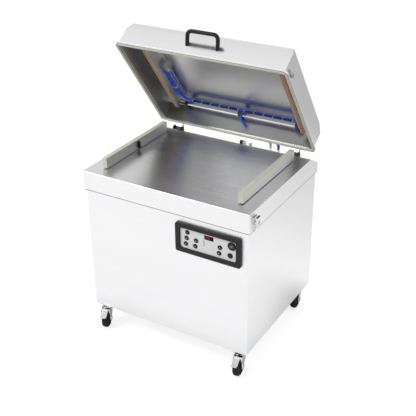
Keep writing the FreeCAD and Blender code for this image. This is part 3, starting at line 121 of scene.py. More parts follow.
def grain_group(name, values):
    """A group that will turn a place into a tone, a change of roughness and a height."""
    tree = bpy.data.node_groups.new(name, "ShaderNodeTree")
    tree.interface.new_socket("Vector", in_out="INPUT", socket_type="NodeSocketVector")
    for label, value in values.items():
        socket = tree.interface.new_socket(label, in_out="INPUT", socket_type="NodeSocketFloat")
        socket.default_value = value
    for label in ("Tone", "Rough", "Height"):
        tree.interface.new_socket(label, in_out="OUTPUT", socket_type="NodeSocketFloat")
    return tree, tree.nodes.new("NodeGroupInput").outputs, tree.nodes.new("NodeGroupOutput").inputs


def feed(tree, value, socket):
    """Link another node's output to a socket, or set the socket to a plain value."""
    if isinstance(value, bpy.types.NodeSocket):
        tree.links.new(value, socket)
    else:
        socket.default_value = value


def math_node(tree, operation, first, second=0.0):
    node = tree.nodes.new("ShaderNodeMath")
    node.operation = operation
    feed(tree, first, node.inputs[0])
    feed(tree, second, node.inputs[1])
    return node.outputs[0]


def blended(tree, mask, first, second):
    """One value where a mask is nought and another where it is one."""
    node = tree.nodes.new("ShaderNodeMix")
    tree.links.new(mask, node.inputs["Factor"])
    feed(tree, first, node.inputs["A"])
    feed(tree, second, node.inputs["B"])
    return node.outputs["Result"]


def noise(tree, vector, scale, detail, rough=0.5):
    node = tree.nodes.new("ShaderNodeTexNoise")
    node.inputs["Detail"].default_value = detail
    node.inputs["Roughness"].default_value = rough
    feed(tree, scale, node.inputs["Scale"])
    tree.links.new(vector, node.inputs["Vector"])
    return node.outputs["Fac"]


def stretched(tree, vector, scale):
    node = tree.nodes.new("ShaderNodeMapping")
    node.inputs["Scale"].default_value = scale
    tree.links.new(vector, node.inputs["Vector"])
    return node.outputs["Vector"]


def make_brushed_group():
    """Long fine scratches along X, or along Y on faces that look sideways, with broad soft bands."""
    tree, given, result = grain_group("brushed_grain", {"Sideways": 0.0, "Depth": 0.5})
    vector = given["Vector"]
    along_x = noise(tree, stretched(tree, vector, (ALONG, ACROSS, ACROSS)), 1.0, 4, 0.6)
    along_y = noise(tree, stretched(tree, vector, (ACROSS, ALONG, ACROSS)), 1.0, 4, 0.6)
    streak = blended(tree, given["Sideways"], along_x, along_y)
    band = noise(tree, stretched(tree, vector, BAND_STRETCH), 1.0, 2)
    deep = math_node(tree, "MULTIPLY", math_node(tree, "SUBTRACT", streak, 0.5), given["Depth"])
    soft = math_node(tree, "MULTIPLY", math_node(tree, "SUBTRACT", band, 0.5), BAND_TONE)
    tone = math_node(tree, "ADD", math_node(tree, "MULTIPLY", deep, SCRATCH_TONE), soft)
    feed(tree, math_node(tree, "ADD", tone, 1.0), result["Tone"])
    feed(tree, math_node(tree, "MULTIPLY", deep, SCRATCH_ROUGH), result["Rough"])
    feed(tree, streak, result["Height"])
    return tree


def make_mottle_group():
    """Cloudy tone and a fine moulded grain for rubber, plastic and plating."""
    tree, given, result = grain_group("moulded_mottle", {"Cloud": 12.0, "Grain": 900.0})
    vector = given["Vector"]
    cloud = math_node(tree, "SUBTRACT", noise(tree, vector, given["Cloud"], 3.0), 0.5)
    tone = math_node(tree, "ADD", math_node(tree, "MULTIPLY", cloud, CLOUD_TONE), 1.0)
    feed(tree, tone, result["Tone"])
    feed(tree, math_node(tree, "MULTIPLY", cloud, CLOUD_ROUGH), result["Rough"])
    feed(tree, noise(tree, vector, given["Grain"], 2.0), result["Height"])
    return tree


BRUSHED = make_brushed_group()
MOTTLE = make_mottle_group()

# Kinds of material


def start_material(name):
    material = bpy.data.materials.new(name)
    material.use_nodes = True
    tree = material.node_tree
    return material, tree, tree.nodes["Principled BSDF"]


def set_group(tree, group, vector, values):
    """Set a shader group into a material with values of its own, and give its outputs."""
    node = tree.nodes.new("ShaderNodeGroup")
    node.node_tree = group
    tree.links.new(vector, node.inputs["Vector"])
    for label, value in values.items():
        feed(tree, value, node.inputs[label])
    return node.outputs


def toned(tree, colour, tone):
    """A colour made lighter or darker by a tone near 1."""
    node = tree.nodes.new("ShaderNodeMix")
    node.data_type = "RGBA"
    node.blend_type = "MULTIPLY"
    node.inputs["Factor"].default_value = 1.0
    node.inputs["A"].default_value = (*colour, 1)
    spread = tree.nodes.new("ShaderNodeCombineColor")
    for socket in spread.inputs[:3]:
        tree.links.new(tone, socket)
    tree.links.new(spread.outputs["Color"], node.inputs["B"])
    return node.outputs["Result"]


def bumped(tree, height, strength, distance, shader):
    node = tree.nodes.new("ShaderNodeBump")
    node.inputs["Strength"].default_value = strength
    node.inputs["Distance"].default_value = distance
    tree.links.new(height, node.inputs["Height"])
    tree.links.new(node.outputs["Normal"], shader.inputs["Normal"])


def roughened(tree, change, base, shader):
    tree.links.new(math_node(tree, "ADD", change, base), shader.inputs["Roughness"])


def split_axes(tree, vector):
    node = tree.nodes.new("ShaderNodeSeparateXYZ")
    tree.links.new(vector, node.inputs["Vector"])
    return node.outputs


def brushed_metal(name, colour, rough, depth, turn=0.0, top=None):
    """Sheet metal with straight brushing; turn lays the grain along a tilted sheet.

    A top shade and roughness change the faces that look up; the shade is painted shade, a darker colour
    that stands in for how the light falls on them.
    """
    material, tree, shader = start_material(name)
    place = tree.nodes.new("ShaderNodeTexCoord").outputs
    lay = tree.nodes.new("ShaderNodeMapping")
    lay.inputs["Rotation"].default_value = (turn, 0, 0)
    tree.links.new(place["Object"], lay.inputs["Vector"])
    facing = split_axes(tree, place["Normal"])
    aside = math_node(tree, "ABSOLUTE", facing["X"])
    sideways = math_node(tree, "GREATER_THAN", aside, SIDEWAYS_FROM)
    grain = set_group(tree, BRUSHED, lay.outputs["Vector"], {"Sideways": sideways, "Depth": depth})
    tone = grain["Tone"]
    # Painted shade: faces that look up get a darker colour, and their own roughness
    if top:
        shade, polish = top
        upward = math_node(tree, "GREATER_THAN", facing["Z"], UPWARD_FROM)
        tone = math_node(tree, "MULTIPLY", tone, blended(tree, upward, 1.0, shade))
        rough = blended(tree, upward, rough, polish)
    tree.links.new(toned(tree, colour, tone), shader.inputs["Base Color"])
    roughened(tree, grain["Rough"], rough, shader)
    bumped(tree, grain["Height"], FAINT_BUMP, SCRATCH_DEPTH, shader)
    shader.inputs["Metallic"].default_value = 1.0
    return material


def two_part(name, axis, limit, near, far, cloud=12.0, grain=900.0):
    """A finish that changes across a plane; each side has a colour, roughness and metal share."""
    material, tree, shader = start_material(name)
    place = tree.nodes.new("ShaderNodeTexCoord").outputs["Object"]
    beyond = math_node(tree, "GREATER_THAN", split_axes(tree, place)[axis], limit)
    mottle = set_group(tree, MOTTLE, place, {"Cloud": cloud, "Grain": grain})
    colour = tree.nodes.new("ShaderNodeMix")
    colour.data_type = "RGBA"
    tree.links.new(beyond, colour.inputs["Factor"])
    for socket, part in (("A", near), ("B", far)):
        tree.links.new(toned(tree, part[0], mottle["Tone"]), colour.inputs[socket])
    tree.links.new(colour.outputs["Result"], shader.inputs["Base Color"])
    roughened(tree, mottle["Rough"], blended(tree, beyond, near[1], far[1]), shader)
    tree.links.new(blended(tree, beyond, near[2], far[2]), shader.inputs["Metallic"])
    bumped(tree, mottle["Height"], FAINT_BUMP, GRAIN_DEPTH, shader)
    return material


def moulded(name, colour, rough, cloud=12.0, grain=900.0, bump=0.08, metallic=0.0, shine=0.5):
    """Plastic, rubber, paint or plated metal with a cloudy tone and a fine grain."""
    material, tree, shader = start_material(name)
    place = tree.nodes.new("ShaderNodeTexCoord").outputs["Object"]
    mottle = set_group(tree, MOTTLE, place, {"Cloud": cloud, "Grain": grain})
    tree.links.new(toned(tree, colour, mottle["Tone"]), shader.inputs["Base Color"])
    roughened(tree, mottle["Rough"], rough, shader)
    bumped(tree, mottle["Height"], bump, GRAIN_DEPTH, shader)
    shader.inputs["Metallic"].default_value = metallic
    shader.inputs["Specular IOR Level"].default_value = shine
    return material


def glowing(name, colour, strength):
    material, _, shader = start_material(name)
    shader.inputs["Base Color"].default_value = (*colour, 1)
    shader.inputs["Emission Color"].default_value = (*colour, 1)
    shader.inputs["Emission Strength"].default_value = strength
    shader.inputs["Roughness"].default_value = 0.3
    return material


# Brushed metals
CABINET_STEEL = brushed_metal("cabinet_steel", (0.90, 0.90, 0.91), 0.40, 0.5)
# The table's up-facing top gets painted shade: a darker colour than its sides
TABLE_STEEL = brushed_metal("table_steel", (0.90, 0.90, 0.91), 0.38, 0.5, top=(0.70, 0.30))
LID_STEEL = brushed_metal("lid_steel", (0.86, 0.86, 0.87), 0.21, 0.5, turn=LID_OPEN)
# The lid's inner faces that look up, such as its rear wall, get painted shade
LID_INNER = brushed_metal("lid_inner_steel", (0.57, 0.57, 0.57), 0.33, 0.4, turn=LID_OPEN,
                          top=(0.66, 0.36))
ALUMINIUM = brushed_metal("bar_aluminium", (0.78, 0.78, 0.78), 0.42, 0.4)
PIPE_STEEL = brushed_metal("pipe_steel", (0.74, 0.74, 0.77), 0.45, 0.3)

# Plated metals
PLATED = {"cloud": 60, "grain": 500, "bump": 0.02, "metallic": 1.0}
ZINC = moulded("zinc_plate", (0.82, 0.82, 0.83), 0.2, **PLATED)
DULL_ZINC = moulded("dull_zinc", (0.42, 0.42, 0.43), 0.4, **PLATED)
PEDAL_ZINC = moulded("pedal_zinc", (0.62, 0.62, 0.63), 0.34, **PLATED)

# Finishes that change across a plane
BLACK_PART = ((0.012, 0.012, 0.013), 0.42, 0.0)
FASCIA = two_part("fascia", "Y", -0.3632,
                  ((0.02, 0.02, 0.022), 0.4, 0.0), ((0.90, 0.90, 0.91), 0.4, 0.0))
SADDLES = two_part("saddle_black", "Z", 1.14,
                   ((0.018, 0.018, 0.02), 0.42, 0.0), ((0.52, 0.52, 0.53), 0.45, 1.0))
SWITCH = two_part("switch_steel", "X", 0.062, BLACK_PART, ((0.70, 0.70, 0.71), 0.3, 1.0))
HINGE_ARM = two_part("hinge_arm_steel", "Z", 0.886, BLACK_PART, ((0.72, 0.72, 0.73), 0.3, 1.0))
LATCH = two_part("latch_steel", "Z", 0.8575,
                 ((0.78, 0.78, 0.79), 0.22, 1.0), ((0.05, 0.05, 0.052), 0.4, 0.3))
# Painted shade for the strip along the apron's foot: dark on the front, lighter on the sides and rear
APRON_PAINTED_SHADE = two_part("apron_painted_shade", "Y", -0.3645,
                      ((0.20, 0.20, 0.205), 0.6, 0.0), ((0.42, 0.42, 0.425), 0.6, 0.0))
SWIVEL_STEEL = two_part("swivel_steel", "Z", 0.1205,
                        ((0.16, 0.16, 0.165), 0.4, 1.0), ((0.80, 0.80, 0.81), 0.3, 1.0),
                        cloud=60, grain=500)

# Rubber, plastic, paint and print
SEAL_RUBBER = moulded("seal_rubber", (0.70, 0.71, 0.58), 0.55, cloud=20, grain=700)
# Painted shade: a dark rubber colour for the strip that stands for the gasket's shaded outer side
GASKET_SHADE_RUBBER = moulded("gasket_shade_rubber", (0.20, 0.20, 0.13), 0.6, cloud=20, grain=700)
TAN_SILICONE = moulded("tan_silicone", (0.50, 0.27, 0.12), 0.5, cloud=30)
BLACK_PLASTIC = moulded("black_plastic", (0.010, 0.010, 0.011), 0.38, shine=0.22)
BEZEL_PLASTIC = moulded("bezel_plastic", (0.015, 0.015, 0.016), 0.48, shine=0.3)
SMOKED = moulded("smoked_window", (0.004, 0.004, 0.005), 0.2, bump=0.0, shine=0.1)
TYRE = moulded("tyre_rubber", (0.010, 0.010, 0.011), 0.6, grain=500, bump=0.15, shine=0.25)
BLUE_HOSE = moulded("blue_hose", (0.002, 0.115, 0.92), 0.38, cloud=40, bump=0.02)
GREY_HOSE = moulded("grey_hose", (0.72, 0.72, 0.67), 0.34, cloud=40, bump=0.02)
PAINTED_IRON = moulded("pump_paint", (0.16, 0.18, 0.20), 0.55, cloud=25, grain=300, bump=0.2)
MOTOR_PAINT = moulded("motor_paint", (0.09, 0.13, 0.19), 0.5, cloud=25, grain=300, bump=0.2)
WINDING = moulded("winding_varnish", (0.25, 0.12, 0.05), 0.4, cloud=60, grain=250, bump=0.3)
BOARD = moulded("board_laminate", (0.02, 0.14, 0.06), 0.4, cloud=80)
ICON_LIGHT = moulded("icon_print", (0.52, 0.52, 0.53), 0.45)
ICON_RED = moulded("icon_red", (0.62, 0.02, 0.03), 0.4)
ICON_DARK = moulded("icon_dark", (0.045, 0.045, 0.048), 0.4, shine=0.3)
PRINT_GREY = moulded("fascia_print", (0.16, 0.17, 0.18), 0.5)
TIE_NYLON = moulded("tie_nylon", (0.72, 0.73, 0.72), 0.45)
DIGIT_RED = glowing("digit_glow", (0.45, 0.006, 0.012), 0.35)

NODE_FINISH = {
    CABINET_STEEL: ["cabinet_shell", "rear_panel", "base_tray"],
    TABLE_STEEL: ["table_top"],
    LID_STEEL: ["lid_shell"],
    ALUMINIUM: ["counter_bars", "seal_bar_left", "seal_bar_right", "lift_cups", "valve_block"],
    FASCIA: ["control_plate"],
    SADDLES: ["pipe_saddles"],
    SWITCH: ["lid_switch"],
    HINGE_ARM: ["hinge_arms"],
    LATCH: ["latch_base", "latch_lever"],
    SWIVEL_STEEL: ["castor_plates"],
    DULL_ZINC: ["lid_keeper"],
    PEDAL_ZINC: ["brake_pedal_front_left", "brake_pedal_front_right"],
    ZINC: ["suction_pipe", "hinge_pins", "hose_sockets",
           *("castor_fork_" + corner for corner in CORNERS)],
    PIPE_STEEL: ["gas_pipe"],
    SEAL_RUBBER: ["lid_gasket", "seal_cover_left", "seal_cover_right"],
    TAN_SILICONE: ["silicone_strips"],
    BLACK_PLASTIC: ["lid_handle", "hinge_blocks", "bag_clip_left", "bag_clip_right", "cable_gland",
                    "button_start", "button_stop", *("button_" + label for label in SMALL_BUTTONS)],
    BEZEL_PLASTIC: ["control_bezel"],
    SMOKED: ["display_window"],
    TYRE: ["castor_wheel_" + corner for corner in CORNERS],
    BLUE_HOSE: ["link_hose_blue", "gas_hose", "branch_hose"],
    GREY_HOSE: ["link_hose_grey"],
    PAINTED_IRON: ["vacuum_pump"],
    MOTOR_PAINT: ["pump_motor"],
    WINDING: ["transformer"],
    BOARD: ["control_board"],
}


def coat(item, material):
    item.data.materials.clear()
    item.data.materials.append(material)


for finish, names in NODE_FINISH.items():
    for node_name in names:
        coat(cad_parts[node_name], finish)

# Pieces

# The reach within which corners of a node or a grown piece are one
WELD = 0.00002
GROWN_WELD = 0.000001
# The angles below which faces are flat or smooth, and the steps of a rounded edge
FLAT_ANGLE = math.radians(0.5)
EDGE_ANGLE = math.radians(30)
EDGE_SEGMENTS = 3


def link_item(name, data):
    item = bpy.data.objects.new(name, data)
    bpy.context.scene.collection.objects.link(item)
    return item


def mesh_piece(name, mesh, material, body):
    item = link_item(name, mesh)
    coat(item, material)
    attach(item, body)
    return item


def form_mesh(name, form):
    """A mesh made from a form, which is then let go."""
    mesh = bpy.data.meshes.new(name)
    form.to_mesh(mesh)
    form.free()
    return mesh


def evaluated_mesh(item):
    """The mesh that Blender makes of an object with its modifiers, or of a curve."""
    sight = bpy.context.evaluated_depsgraph_get()
    return bpy.data.meshes.new_from_object(item.evaluated_get(sight), depsgraph=sight)


def welded(node_name):
    """A node's mesh as a form whose faces share their corners."""
    form = bmesh.new()
    form.from_mesh(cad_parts[node_name].data)
    bmesh.ops.remove_doubles(form, verts=form.verts, dist=WELD)
    return form


def trim(form, geom, at, direction):
    """Cut away what lies beyond a plane and close the cut."""
    cut = bmesh.ops.bisect_plane(form, geom=geom, plane_co=at, plane_no=direction, clear_outer=True)
    rims = [e for e in cut["geom_cut"] if isinstance(e, bmesh.types.BMEdge)]
    bmesh.ops.holes_fill(form, edges=rims)
    bmesh.ops.recalc_face_normals(form, faces=form.faces)


def softened(node_name, width, body):
    """A copy of a folded or moulded node whose edges are rounded; it stands for the node."""
    form = welded(node_name)
    bmesh.ops.dissolve_limit(form, angle_limit=FLAT_ANGLE, verts=form.verts, edges=form.edges)
    mesh = form_mesh(node_name + "_edged", form)
    mesh.shade_smooth()
    mesh.set_sharp_from_angle(angle=EDGE_ANGLE)
    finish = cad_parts[node_name].data.materials[0]
    item = mesh_piece(node_name + "_edged", mesh, finish, body)
    bevel = item.modifiers.new("rounded_edges", "BEVEL")
    bevel.width = width
    bevel.segments = EDGE_SEGMENTS
    bevel.limit_method = "ANGLE"
    bevel.angle_limit = EDGE_ANGLE
    bevel.harden_normals = True
    flat = item.modifiers.new("flat_faces", "WEIGHTED_NORMAL")
    flat.keep_sharp = True
    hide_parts(node_name)


def spline_mesh(curve):
    """A curve as a mesh: its line with no bevel, or its tube."""
    item = link_item("route", curve)
    mesh = evaluated_mesh(item)
    bpy.data.objects.remove(item)
    return mesh


def hose(name, points, radius, material):
    """A smooth hose with one spline's control points, and the line that it follows."""
    curve = bpy.data.curves.new(name, "CURVE")
    curve.dimensions = "3D"
    curve.resolution_u = 24
    spline = curve.splines.new("NURBS")
    spline.points.add(len(points) - 1)
    for place, point in zip(spline.points, points):
        place.co = (*point, 1)
    spline.order_u = 3
    spline.use_endpoint_u = True
    line = [v.co.copy() for v in spline_mesh(curve).vertices]
    curve.bevel_depth = radius
    curve.bevel_resolution = 6
    curve.use_fill_caps = True
    tube = spline_mesh(curve)
    tube.shade_smooth()
    item = link_item(name, tube)
    coat(item, material)
    return item, line


# Hoses from the rear slope to the lid's rear wall, with points by depth and height
LINK_LEAN = 0.022
LINK_BOW = 0.004
LINK_FOOT = (0.35395, 0.85813)
LINK_RISE = (0.3660, 0.8780)
LINK_BEND = (0.3685, 0.8985)
LINK_HEAD = (0.34821, 0.93136)
for colour, x0, radius, finish in (("grey", 0.188, 0.0068, GREY_HOSE),
                                   ("blue", 0.233, 0.0071, BLUE_HOSE)):
    x1 = x0 - LINK_LEAN - LINK_BOW
    route = [(x0, *LINK_FOOT), (x0 + LINK_BOW, *LINK_RISE), (x1, *LINK_BEND), (x1, *LINK_HEAD)]
    link, line = hose(colour + "_link", route, radius, finish)
    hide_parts("link_hose_" + colour)
    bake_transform(link)

# Hoses under the lid's roof: the long one along the left and the rear, and its short branch
GAS_LEVEL = 0.106
GAS_SETBACK = 0.058
GAS_SIDE = -0.333
GAS_RADIUS = 0.008
BRANCH_RADIUS = 0.006
gas_points = [(GAS_SIDE, 0.340), (-0.336, 0.318), (-0.358, 0.285), (-0.353, 0.150), (-0.346, 0.078),
              (-0.315, GAS_SETBACK), (-0.273, GAS_SETBACK), (0.330, GAS_SETBACK)]
branch_points = [(0.018, GAS_SETBACK, 0.0977), (0.018, 0.070, 0.052),
                 (0.040, 0.0343, 0.044), (0.040, 0.0123, 0.044)]
lid_hoses = (
    ("gas_line", "gas_hose", GAS_RADIUS, [open_lid(x, s, GAS_LEVEL) for x, s in gas_points]),
    ("gas_branch", "branch_hose", BRANCH_RADIUS, [open_lid(*point) for point in branch_points]),
)
for name, node_name, radius, route in lid_hoses:
    pipe, line = hose(name, route, radius, BLUE_HOSE)
    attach(pipe, "lid")
    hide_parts(node_name)

# The black elbow that carries the pipe's left end to the roof
ELBOW_RADIUS = 0.005
elbow_points = [(-0.326, 0.042, 0.085), (-0.352, 0.042, 0.085),
                (-0.376, 0.040, 0.087), (-0.378, 0.034, 0.109)]
elbow_route = [open_lid(*point) for point in elbow_points]
elbow, _ = hose("pipe_elbow", elbow_route, ELBOW_RADIUS, BLACK_PLASTIC)
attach(elbow, "lid")

# The bow handle, trimmed where its legs meet the lid's front wall
HANDLE_HALF = 0.0800
HANDLE_REACH = 0.062
HANDLE_ROUND = 0.052
HANDLE_RADIUS = 0.0095
LEG_OVERRUN = 0.024
HANDLE_TILT = math.radians(-41)
HANDLE_INSET = 0.010
HANDLE_LEVEL = 0.056
FRONT_WALL = in_lid(0, LID_DEPTH - HANDLE_INSET, HANDLE_LEVEL)


def make_handle():
    low = HANDLE_REACH - HANDLE_ROUND
    inner = HANDLE_HALF - HANDLE_ROUND
    legs = [(HANDLE_HALF, LEG_OVERRUN), (HANDLE_HALF, -low), (HANDLE_HALF, -HANDLE_REACH),
            (inner, -HANDLE_REACH)]
    points = [(-x, y, 0) for x, y in legs] + [(x, y, 0) for x, y in reversed(legs)]
    bow, _ = hose("bow_handle", points, HANDLE_RADIUS, BLACK_PLASTIC)
    form = bmesh.new()
    form.from_mesh(bow.data)
    form.transform(Matrix.Translation(FRONT_WALL) @ Matrix.Rotation(HANDLE_TILT, 4, "X"))
    trim(form, form.verts[:] + form.edges[:] + form.faces[:], FRONT_WALL, (0, 1, 0))
    form.transform(LID_PLACE)
    form.to_mesh(bow.data)
    form.free()
    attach(bow, "lid")
    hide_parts("lid_handle")


make_handle()

# The saddles at the middle and the right, low enough to leave the hose in sight
SADDLE_TOP = 0.0965
LOWERED_FROM = -0.1


def lower_saddles():
    form = welded("pipe_saddles")
    form.transform(LID_CLOSED)
    near = {v for v in form.verts if v.co.x > LOWERED_FROM}
    geom = [v for v in form.verts if v in near]
    geom += [e for e in form.edges if near.intersection(e.verts)]
    geom += [f for f in form.faces if near.intersection(f.verts)]
    trim(form, geom, in_lid(0, 0, SADDLE_TOP), (0, 0, 1))
    form.transform(LID_PLACE)
    item = mesh_piece("low_saddles", form_mesh("low_saddles", form), SADDLES, "lid")
    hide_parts("pipe_saddles")


lower_saddles()

# Folded and moulded pieces with rounded edges
for node_name, width, body in (
        ("cabinet_shell", 0.0005, "machine"), ("table_top", 0.0008, "machine"),
        ("lid_shell", 0.0009, "lid"), ("control_bezel", 0.0025, "machine"),
        ("seal_cover_left", 0.0012, "seal_bar_left"), ("seal_cover_right", 0.0012, "seal_bar_right"),
        ("hinge_blocks", 0.0012, "machine"), ("hinge_arms", 0.001, "lid")):
    softened(node_name, width, body)

# The lid's inside, for its finish: about its middle, and above the band at the rim
LID_MIDDLE = open_lid(0, 0.32, 0.05)
RIM_BAND = 0.0035


def line_lid():
    """Give the lid's inner faces, which look towards its middle, their own finish."""
    mesh = bpy.data.objects["lid_shell_edged"].data
    mesh.materials.append(LID_INNER)
    for face in mesh.polygons:
        inward = (LID_MIDDLE - face.center).dot(face.normal) > 0
        above_rim = (LID_CLOSED @ face.center).z - RIM.z > RIM_BAND
        face.material_index = 1 if inward and above_rim else 0


line_lid()

# Pieces grown by trees


def piece_tree(name, inputs):
    """A geometry tree with named inputs, a way to add a linked node and a way to end the tree."""
    tree = bpy.data.node_groups.new(name, "GeometryNodeTree")
    face = tree.interface
    face.new_socket("Geometry", in_out="OUTPUT", socket_type="NodeSocketGeometry")
    face.new_socket("Geometry", in_out="INPUT", socket_type="NodeSocketGeometry")
    for label, kind, value in inputs:
        socket = face.new_socket(label, in_out="INPUT", socket_type="NodeSocket" + kind)
        socket.default_value = value
    face.new_socket("Material", in_out="INPUT", socket_type="NodeSocketMaterial")
    given = tree.nodes.new("NodeGroupInput").outputs

    def add(kind, settings=None, **sockets):
        node = tree.nodes.new(kind)
        for setting, value in (settings or {}).items():
            setattr(node, setting, value)
        for label, value in sockets.items():
            feed(tree, value, node.inputs[label.replace("_", " ")])
        return node.outputs

    def end(geometry):
        real = add("GeometryNodeRealizeInstances", Geometry=geometry)["Geometry"]
        painted = add("GeometryNodeSetMaterial", Geometry=real, Material=given["Material"])["Geometry"]
        tree.links.new(painted, tree.nodes.new("NodeGroupOutput").inputs["Geometry"])
        return tree

    return given, add, end


def times(add, value, factor):
    product = add("ShaderNodeMath", {"operation": "MULTIPLY"}, Value=value)[0]
    product.node.inputs[1].default_value = factor
    return product


def along_line(add, given, instance):
    """Copies of one form spread evenly along the given line and turned with it."""
    line = add("GeometryNodeMeshToCurve", Mesh=given["Geometry"])["Curve"]
    points = add("GeometryNodeCurveToPoints", Curve=line, Count=given["Count"])
    return add("GeometryNodeInstanceOnPoints", Points=points["Points"], Instance=instance,
               Rotation=points["Rotation"])["Instances"]


def make_screw_tree():
    """A coned screw head with a hexagon socket on each point."""
    given, add, end = piece_tree("screw_heads", [
        ("Radius", "Float", 0.004), ("Height", "Float", 0.002), ("Turn", "Vector", (0, 0, 0))])
    radius, height = given["Radius"], given["Height"]
    head = add("GeometryNodeMeshCone", Vertices=20, Radius_Bottom=radius,
               Radius_Top=times(add, radius, 0.74), Depth=height)["Mesh"]
    socket = add("GeometryNodeMeshCylinder", Vertices=6, Radius=times(add, radius, 0.42),
                 Depth=times(add, height, 1.2))["Mesh"]
    lift = add("ShaderNodeCombineXYZ", Z=height)["Vector"]
    raised = add("GeometryNodeTransform", Geometry=socket, Translation=lift)["Geometry"]
    holed = add("GeometryNodeMeshBoolean", {"operation": "DIFFERENCE"},
                Mesh_1=head, Mesh_2=raised)["Mesh"]
    return end(add("GeometryNodeInstanceOnPoints", Points=given["Geometry"], Instance=holed,
                   Rotation=given["Turn"])["Instances"])


def make_strip_tree():
    """Round-cornered bars set end to end along a line."""
    given, add, end = piece_tree("strip_bars", [
        ("Count", "Int", 5), ("Length", "Float", 0.05), ("Width", "Float", 0.008),
        ("Corner", "Float", 0.002)])
    low, high = (add("ShaderNodeCombineXYZ", Z=times(add, given["Length"], share))["Vector"]
                 for share in (-0.5, 0.5))
    rail = add("GeometryNodeCurvePrimitiveLine", Start=low, End=high)["Curve"]
    square = add("GeometryNodeCurvePrimitiveQuadrilateral", Width=given["Width"],
                 Height=given["Width"])["Curve"]
    section = add("GeometryNodeFilletCurve", {"mode": "POLY"}, Curve=square,
                  Radius=given["Corner"], Count=3)["Curve"]
    bar = add("GeometryNodeCurveToMesh", Curve=rail, Profile_Curve=section, Fill_Caps=True)["Mesh"]
    return end(along_line(add, given, bar))


def make_tie_tree():
    """Thin rings round a line, spread evenly along it."""
    given, add, end = piece_tree("hose_ties", [
        ("Count", "Int", 6), ("Radius", "Float", 0.006), ("Thickness", "Float", 0.0008)])
    loop = add("GeometryNodeCurvePrimitiveCircle", Resolution=24, Radius=given["Radius"])["Curve"]
    section = add("GeometryNodeCurvePrimitiveCircle", Resolution=8, Radius=given["Thickness"])["Curve"]
    ring = add("GeometryNodeCurveToMesh", Curve=loop, Profile_Curve=section)["Mesh"]
    return end(along_line(add, given, ring))


def make_sweep_tree():
    """The given profile swept round a rectangle with rounded corners."""
    given, add, end = piece_tree("profile_sweep", [
        ("Width", "Float", 0.9), ("Length", "Float", 0.6), ("Corner", "Float", 0.02)])
    outline = add("GeometryNodeCurvePrimitiveQuadrilateral", Width=given["Width"],
                  Height=given["Length"])["Curve"]
    rail = add("GeometryNodeFilletCurve", {"mode": "POLY"}, Curve=outline,
               Radius=given["Corner"], Count=10)["Curve"]
    profile = add("GeometryNodeMeshToCurve", Mesh=given["Geometry"])["Curve"]
    return end(add("GeometryNodeCurveToMesh", Curve=rail, Profile_Curve=profile)["Mesh"])


def grown(name, mesh, tree, values, material, body, place=None):
    """Run a tree on a mesh, keep the plain result and set it in its place."""
    seed = link_item(name + "_seed", mesh)
    tool = seed.modifiers.new("tree", "NODES")
    tool.node_group = tree
    labels = {item.name: item.identifier for item in tree.interface.items_tree
              if item.item_type == "SOCKET" and item.in_out == "INPUT"}
    for label, value in {**values, "Material": material}.items():
        tool[labels[label]] = value
    plain = evaluated_mesh(seed)
    seed.modifiers.remove(tool)
    bpy.data.objects.remove(seed)
    if place:
        plain.transform(place)
    form = bmesh.new()
    form.from_mesh(plain)
    bmesh.ops.remove_doubles(form, verts=form.verts, dist=GROWN_WELD)
    bmesh.ops.recalc_face_normals(form, faces=form.faces)
    form.to_mesh(plain)
    form.free()
    return mesh_piece(name, plain, material, body)


def points_mesh(name, points, edges=()):
    mesh = bpy.data.meshes.new(name)
    mesh.from_pydata([tuple(p) for p in points], list(edges), [])
    return mesh


def line_mesh(name, ends):
    return points_mesh(name, ends, [(0, 1)])


def profile_mesh(name, profile):
    """A closed outline in the XY plane."""
    count = len(profile)
    ring = [(k, (k + 1) % count) for k in range(count)]
    return points_mesh(name, [(u, v, 0) for u, v in profile], ring)


SCREWS = make_screw_tree()
STRIP = make_strip_tree()
TIES = make_tie_tree()
SWEEP = make_sweep_tree()

# Screws round the rear panel and bolts under the castor plates
SCREW_SIDE = 0.430
SCREW_LOW = 0.140
SCREW_HIGH = 0.775
SCREW_STEPS = 4
BOLT_OFFSET = 0.0266
screw_rise = (SCREW_HIGH - SCREW_LOW) / SCREW_STEPS
rear_points = [(x, REAR_FACE, SCREW_LOW + screw_rise * k)
               for x in (-SCREW_SIDE, SCREW_SIDE) for k in range(SCREW_STEPS + 1)]
rear_points += [(x, REAR_FACE, z)
                for x in (-SCREW_SIDE / 2, 0, SCREW_SIDE / 2) for z in (SCREW_LOW, SCREW_HIGH)]
grown("rear_screws", points_mesh("rear_points", rear_points), SCREWS,
      {"Radius": 0.0055, "Height": 0.0028, "Turn": (-math.pi / 2, 0, 0)}, ZINC, "machine")
plate_points = [(x + i * BOLT_OFFSET, y + k * BOLT_OFFSET, PLATE_FOOT)
                for x, y in CASTOR_PLACES for i in (-1, 1) for k in (-1, 1)]
grown("castor_bolts", points_mesh("plate_points", plate_points), SCREWS,
      {"Radius": 0.0065, "Height": 0.004, "Turn": (math.pi, 0, 0)}, ZINC, "machine")

# The lid's gasket: a soft band with a lip and a groove under it, a dark strip of painted shade round it
# for its shaded outer side, in a channel
LIP = 0.0147
HALF_LIP = LIP / 2
INNER_FACE = -0.0044
RECESS = HALF_LIP - 0.0030
SHADE_STRIP_OUTER = HALF_LIP - 0.0012
SHADE_STRIP_INNER = RECESS - 0.0005
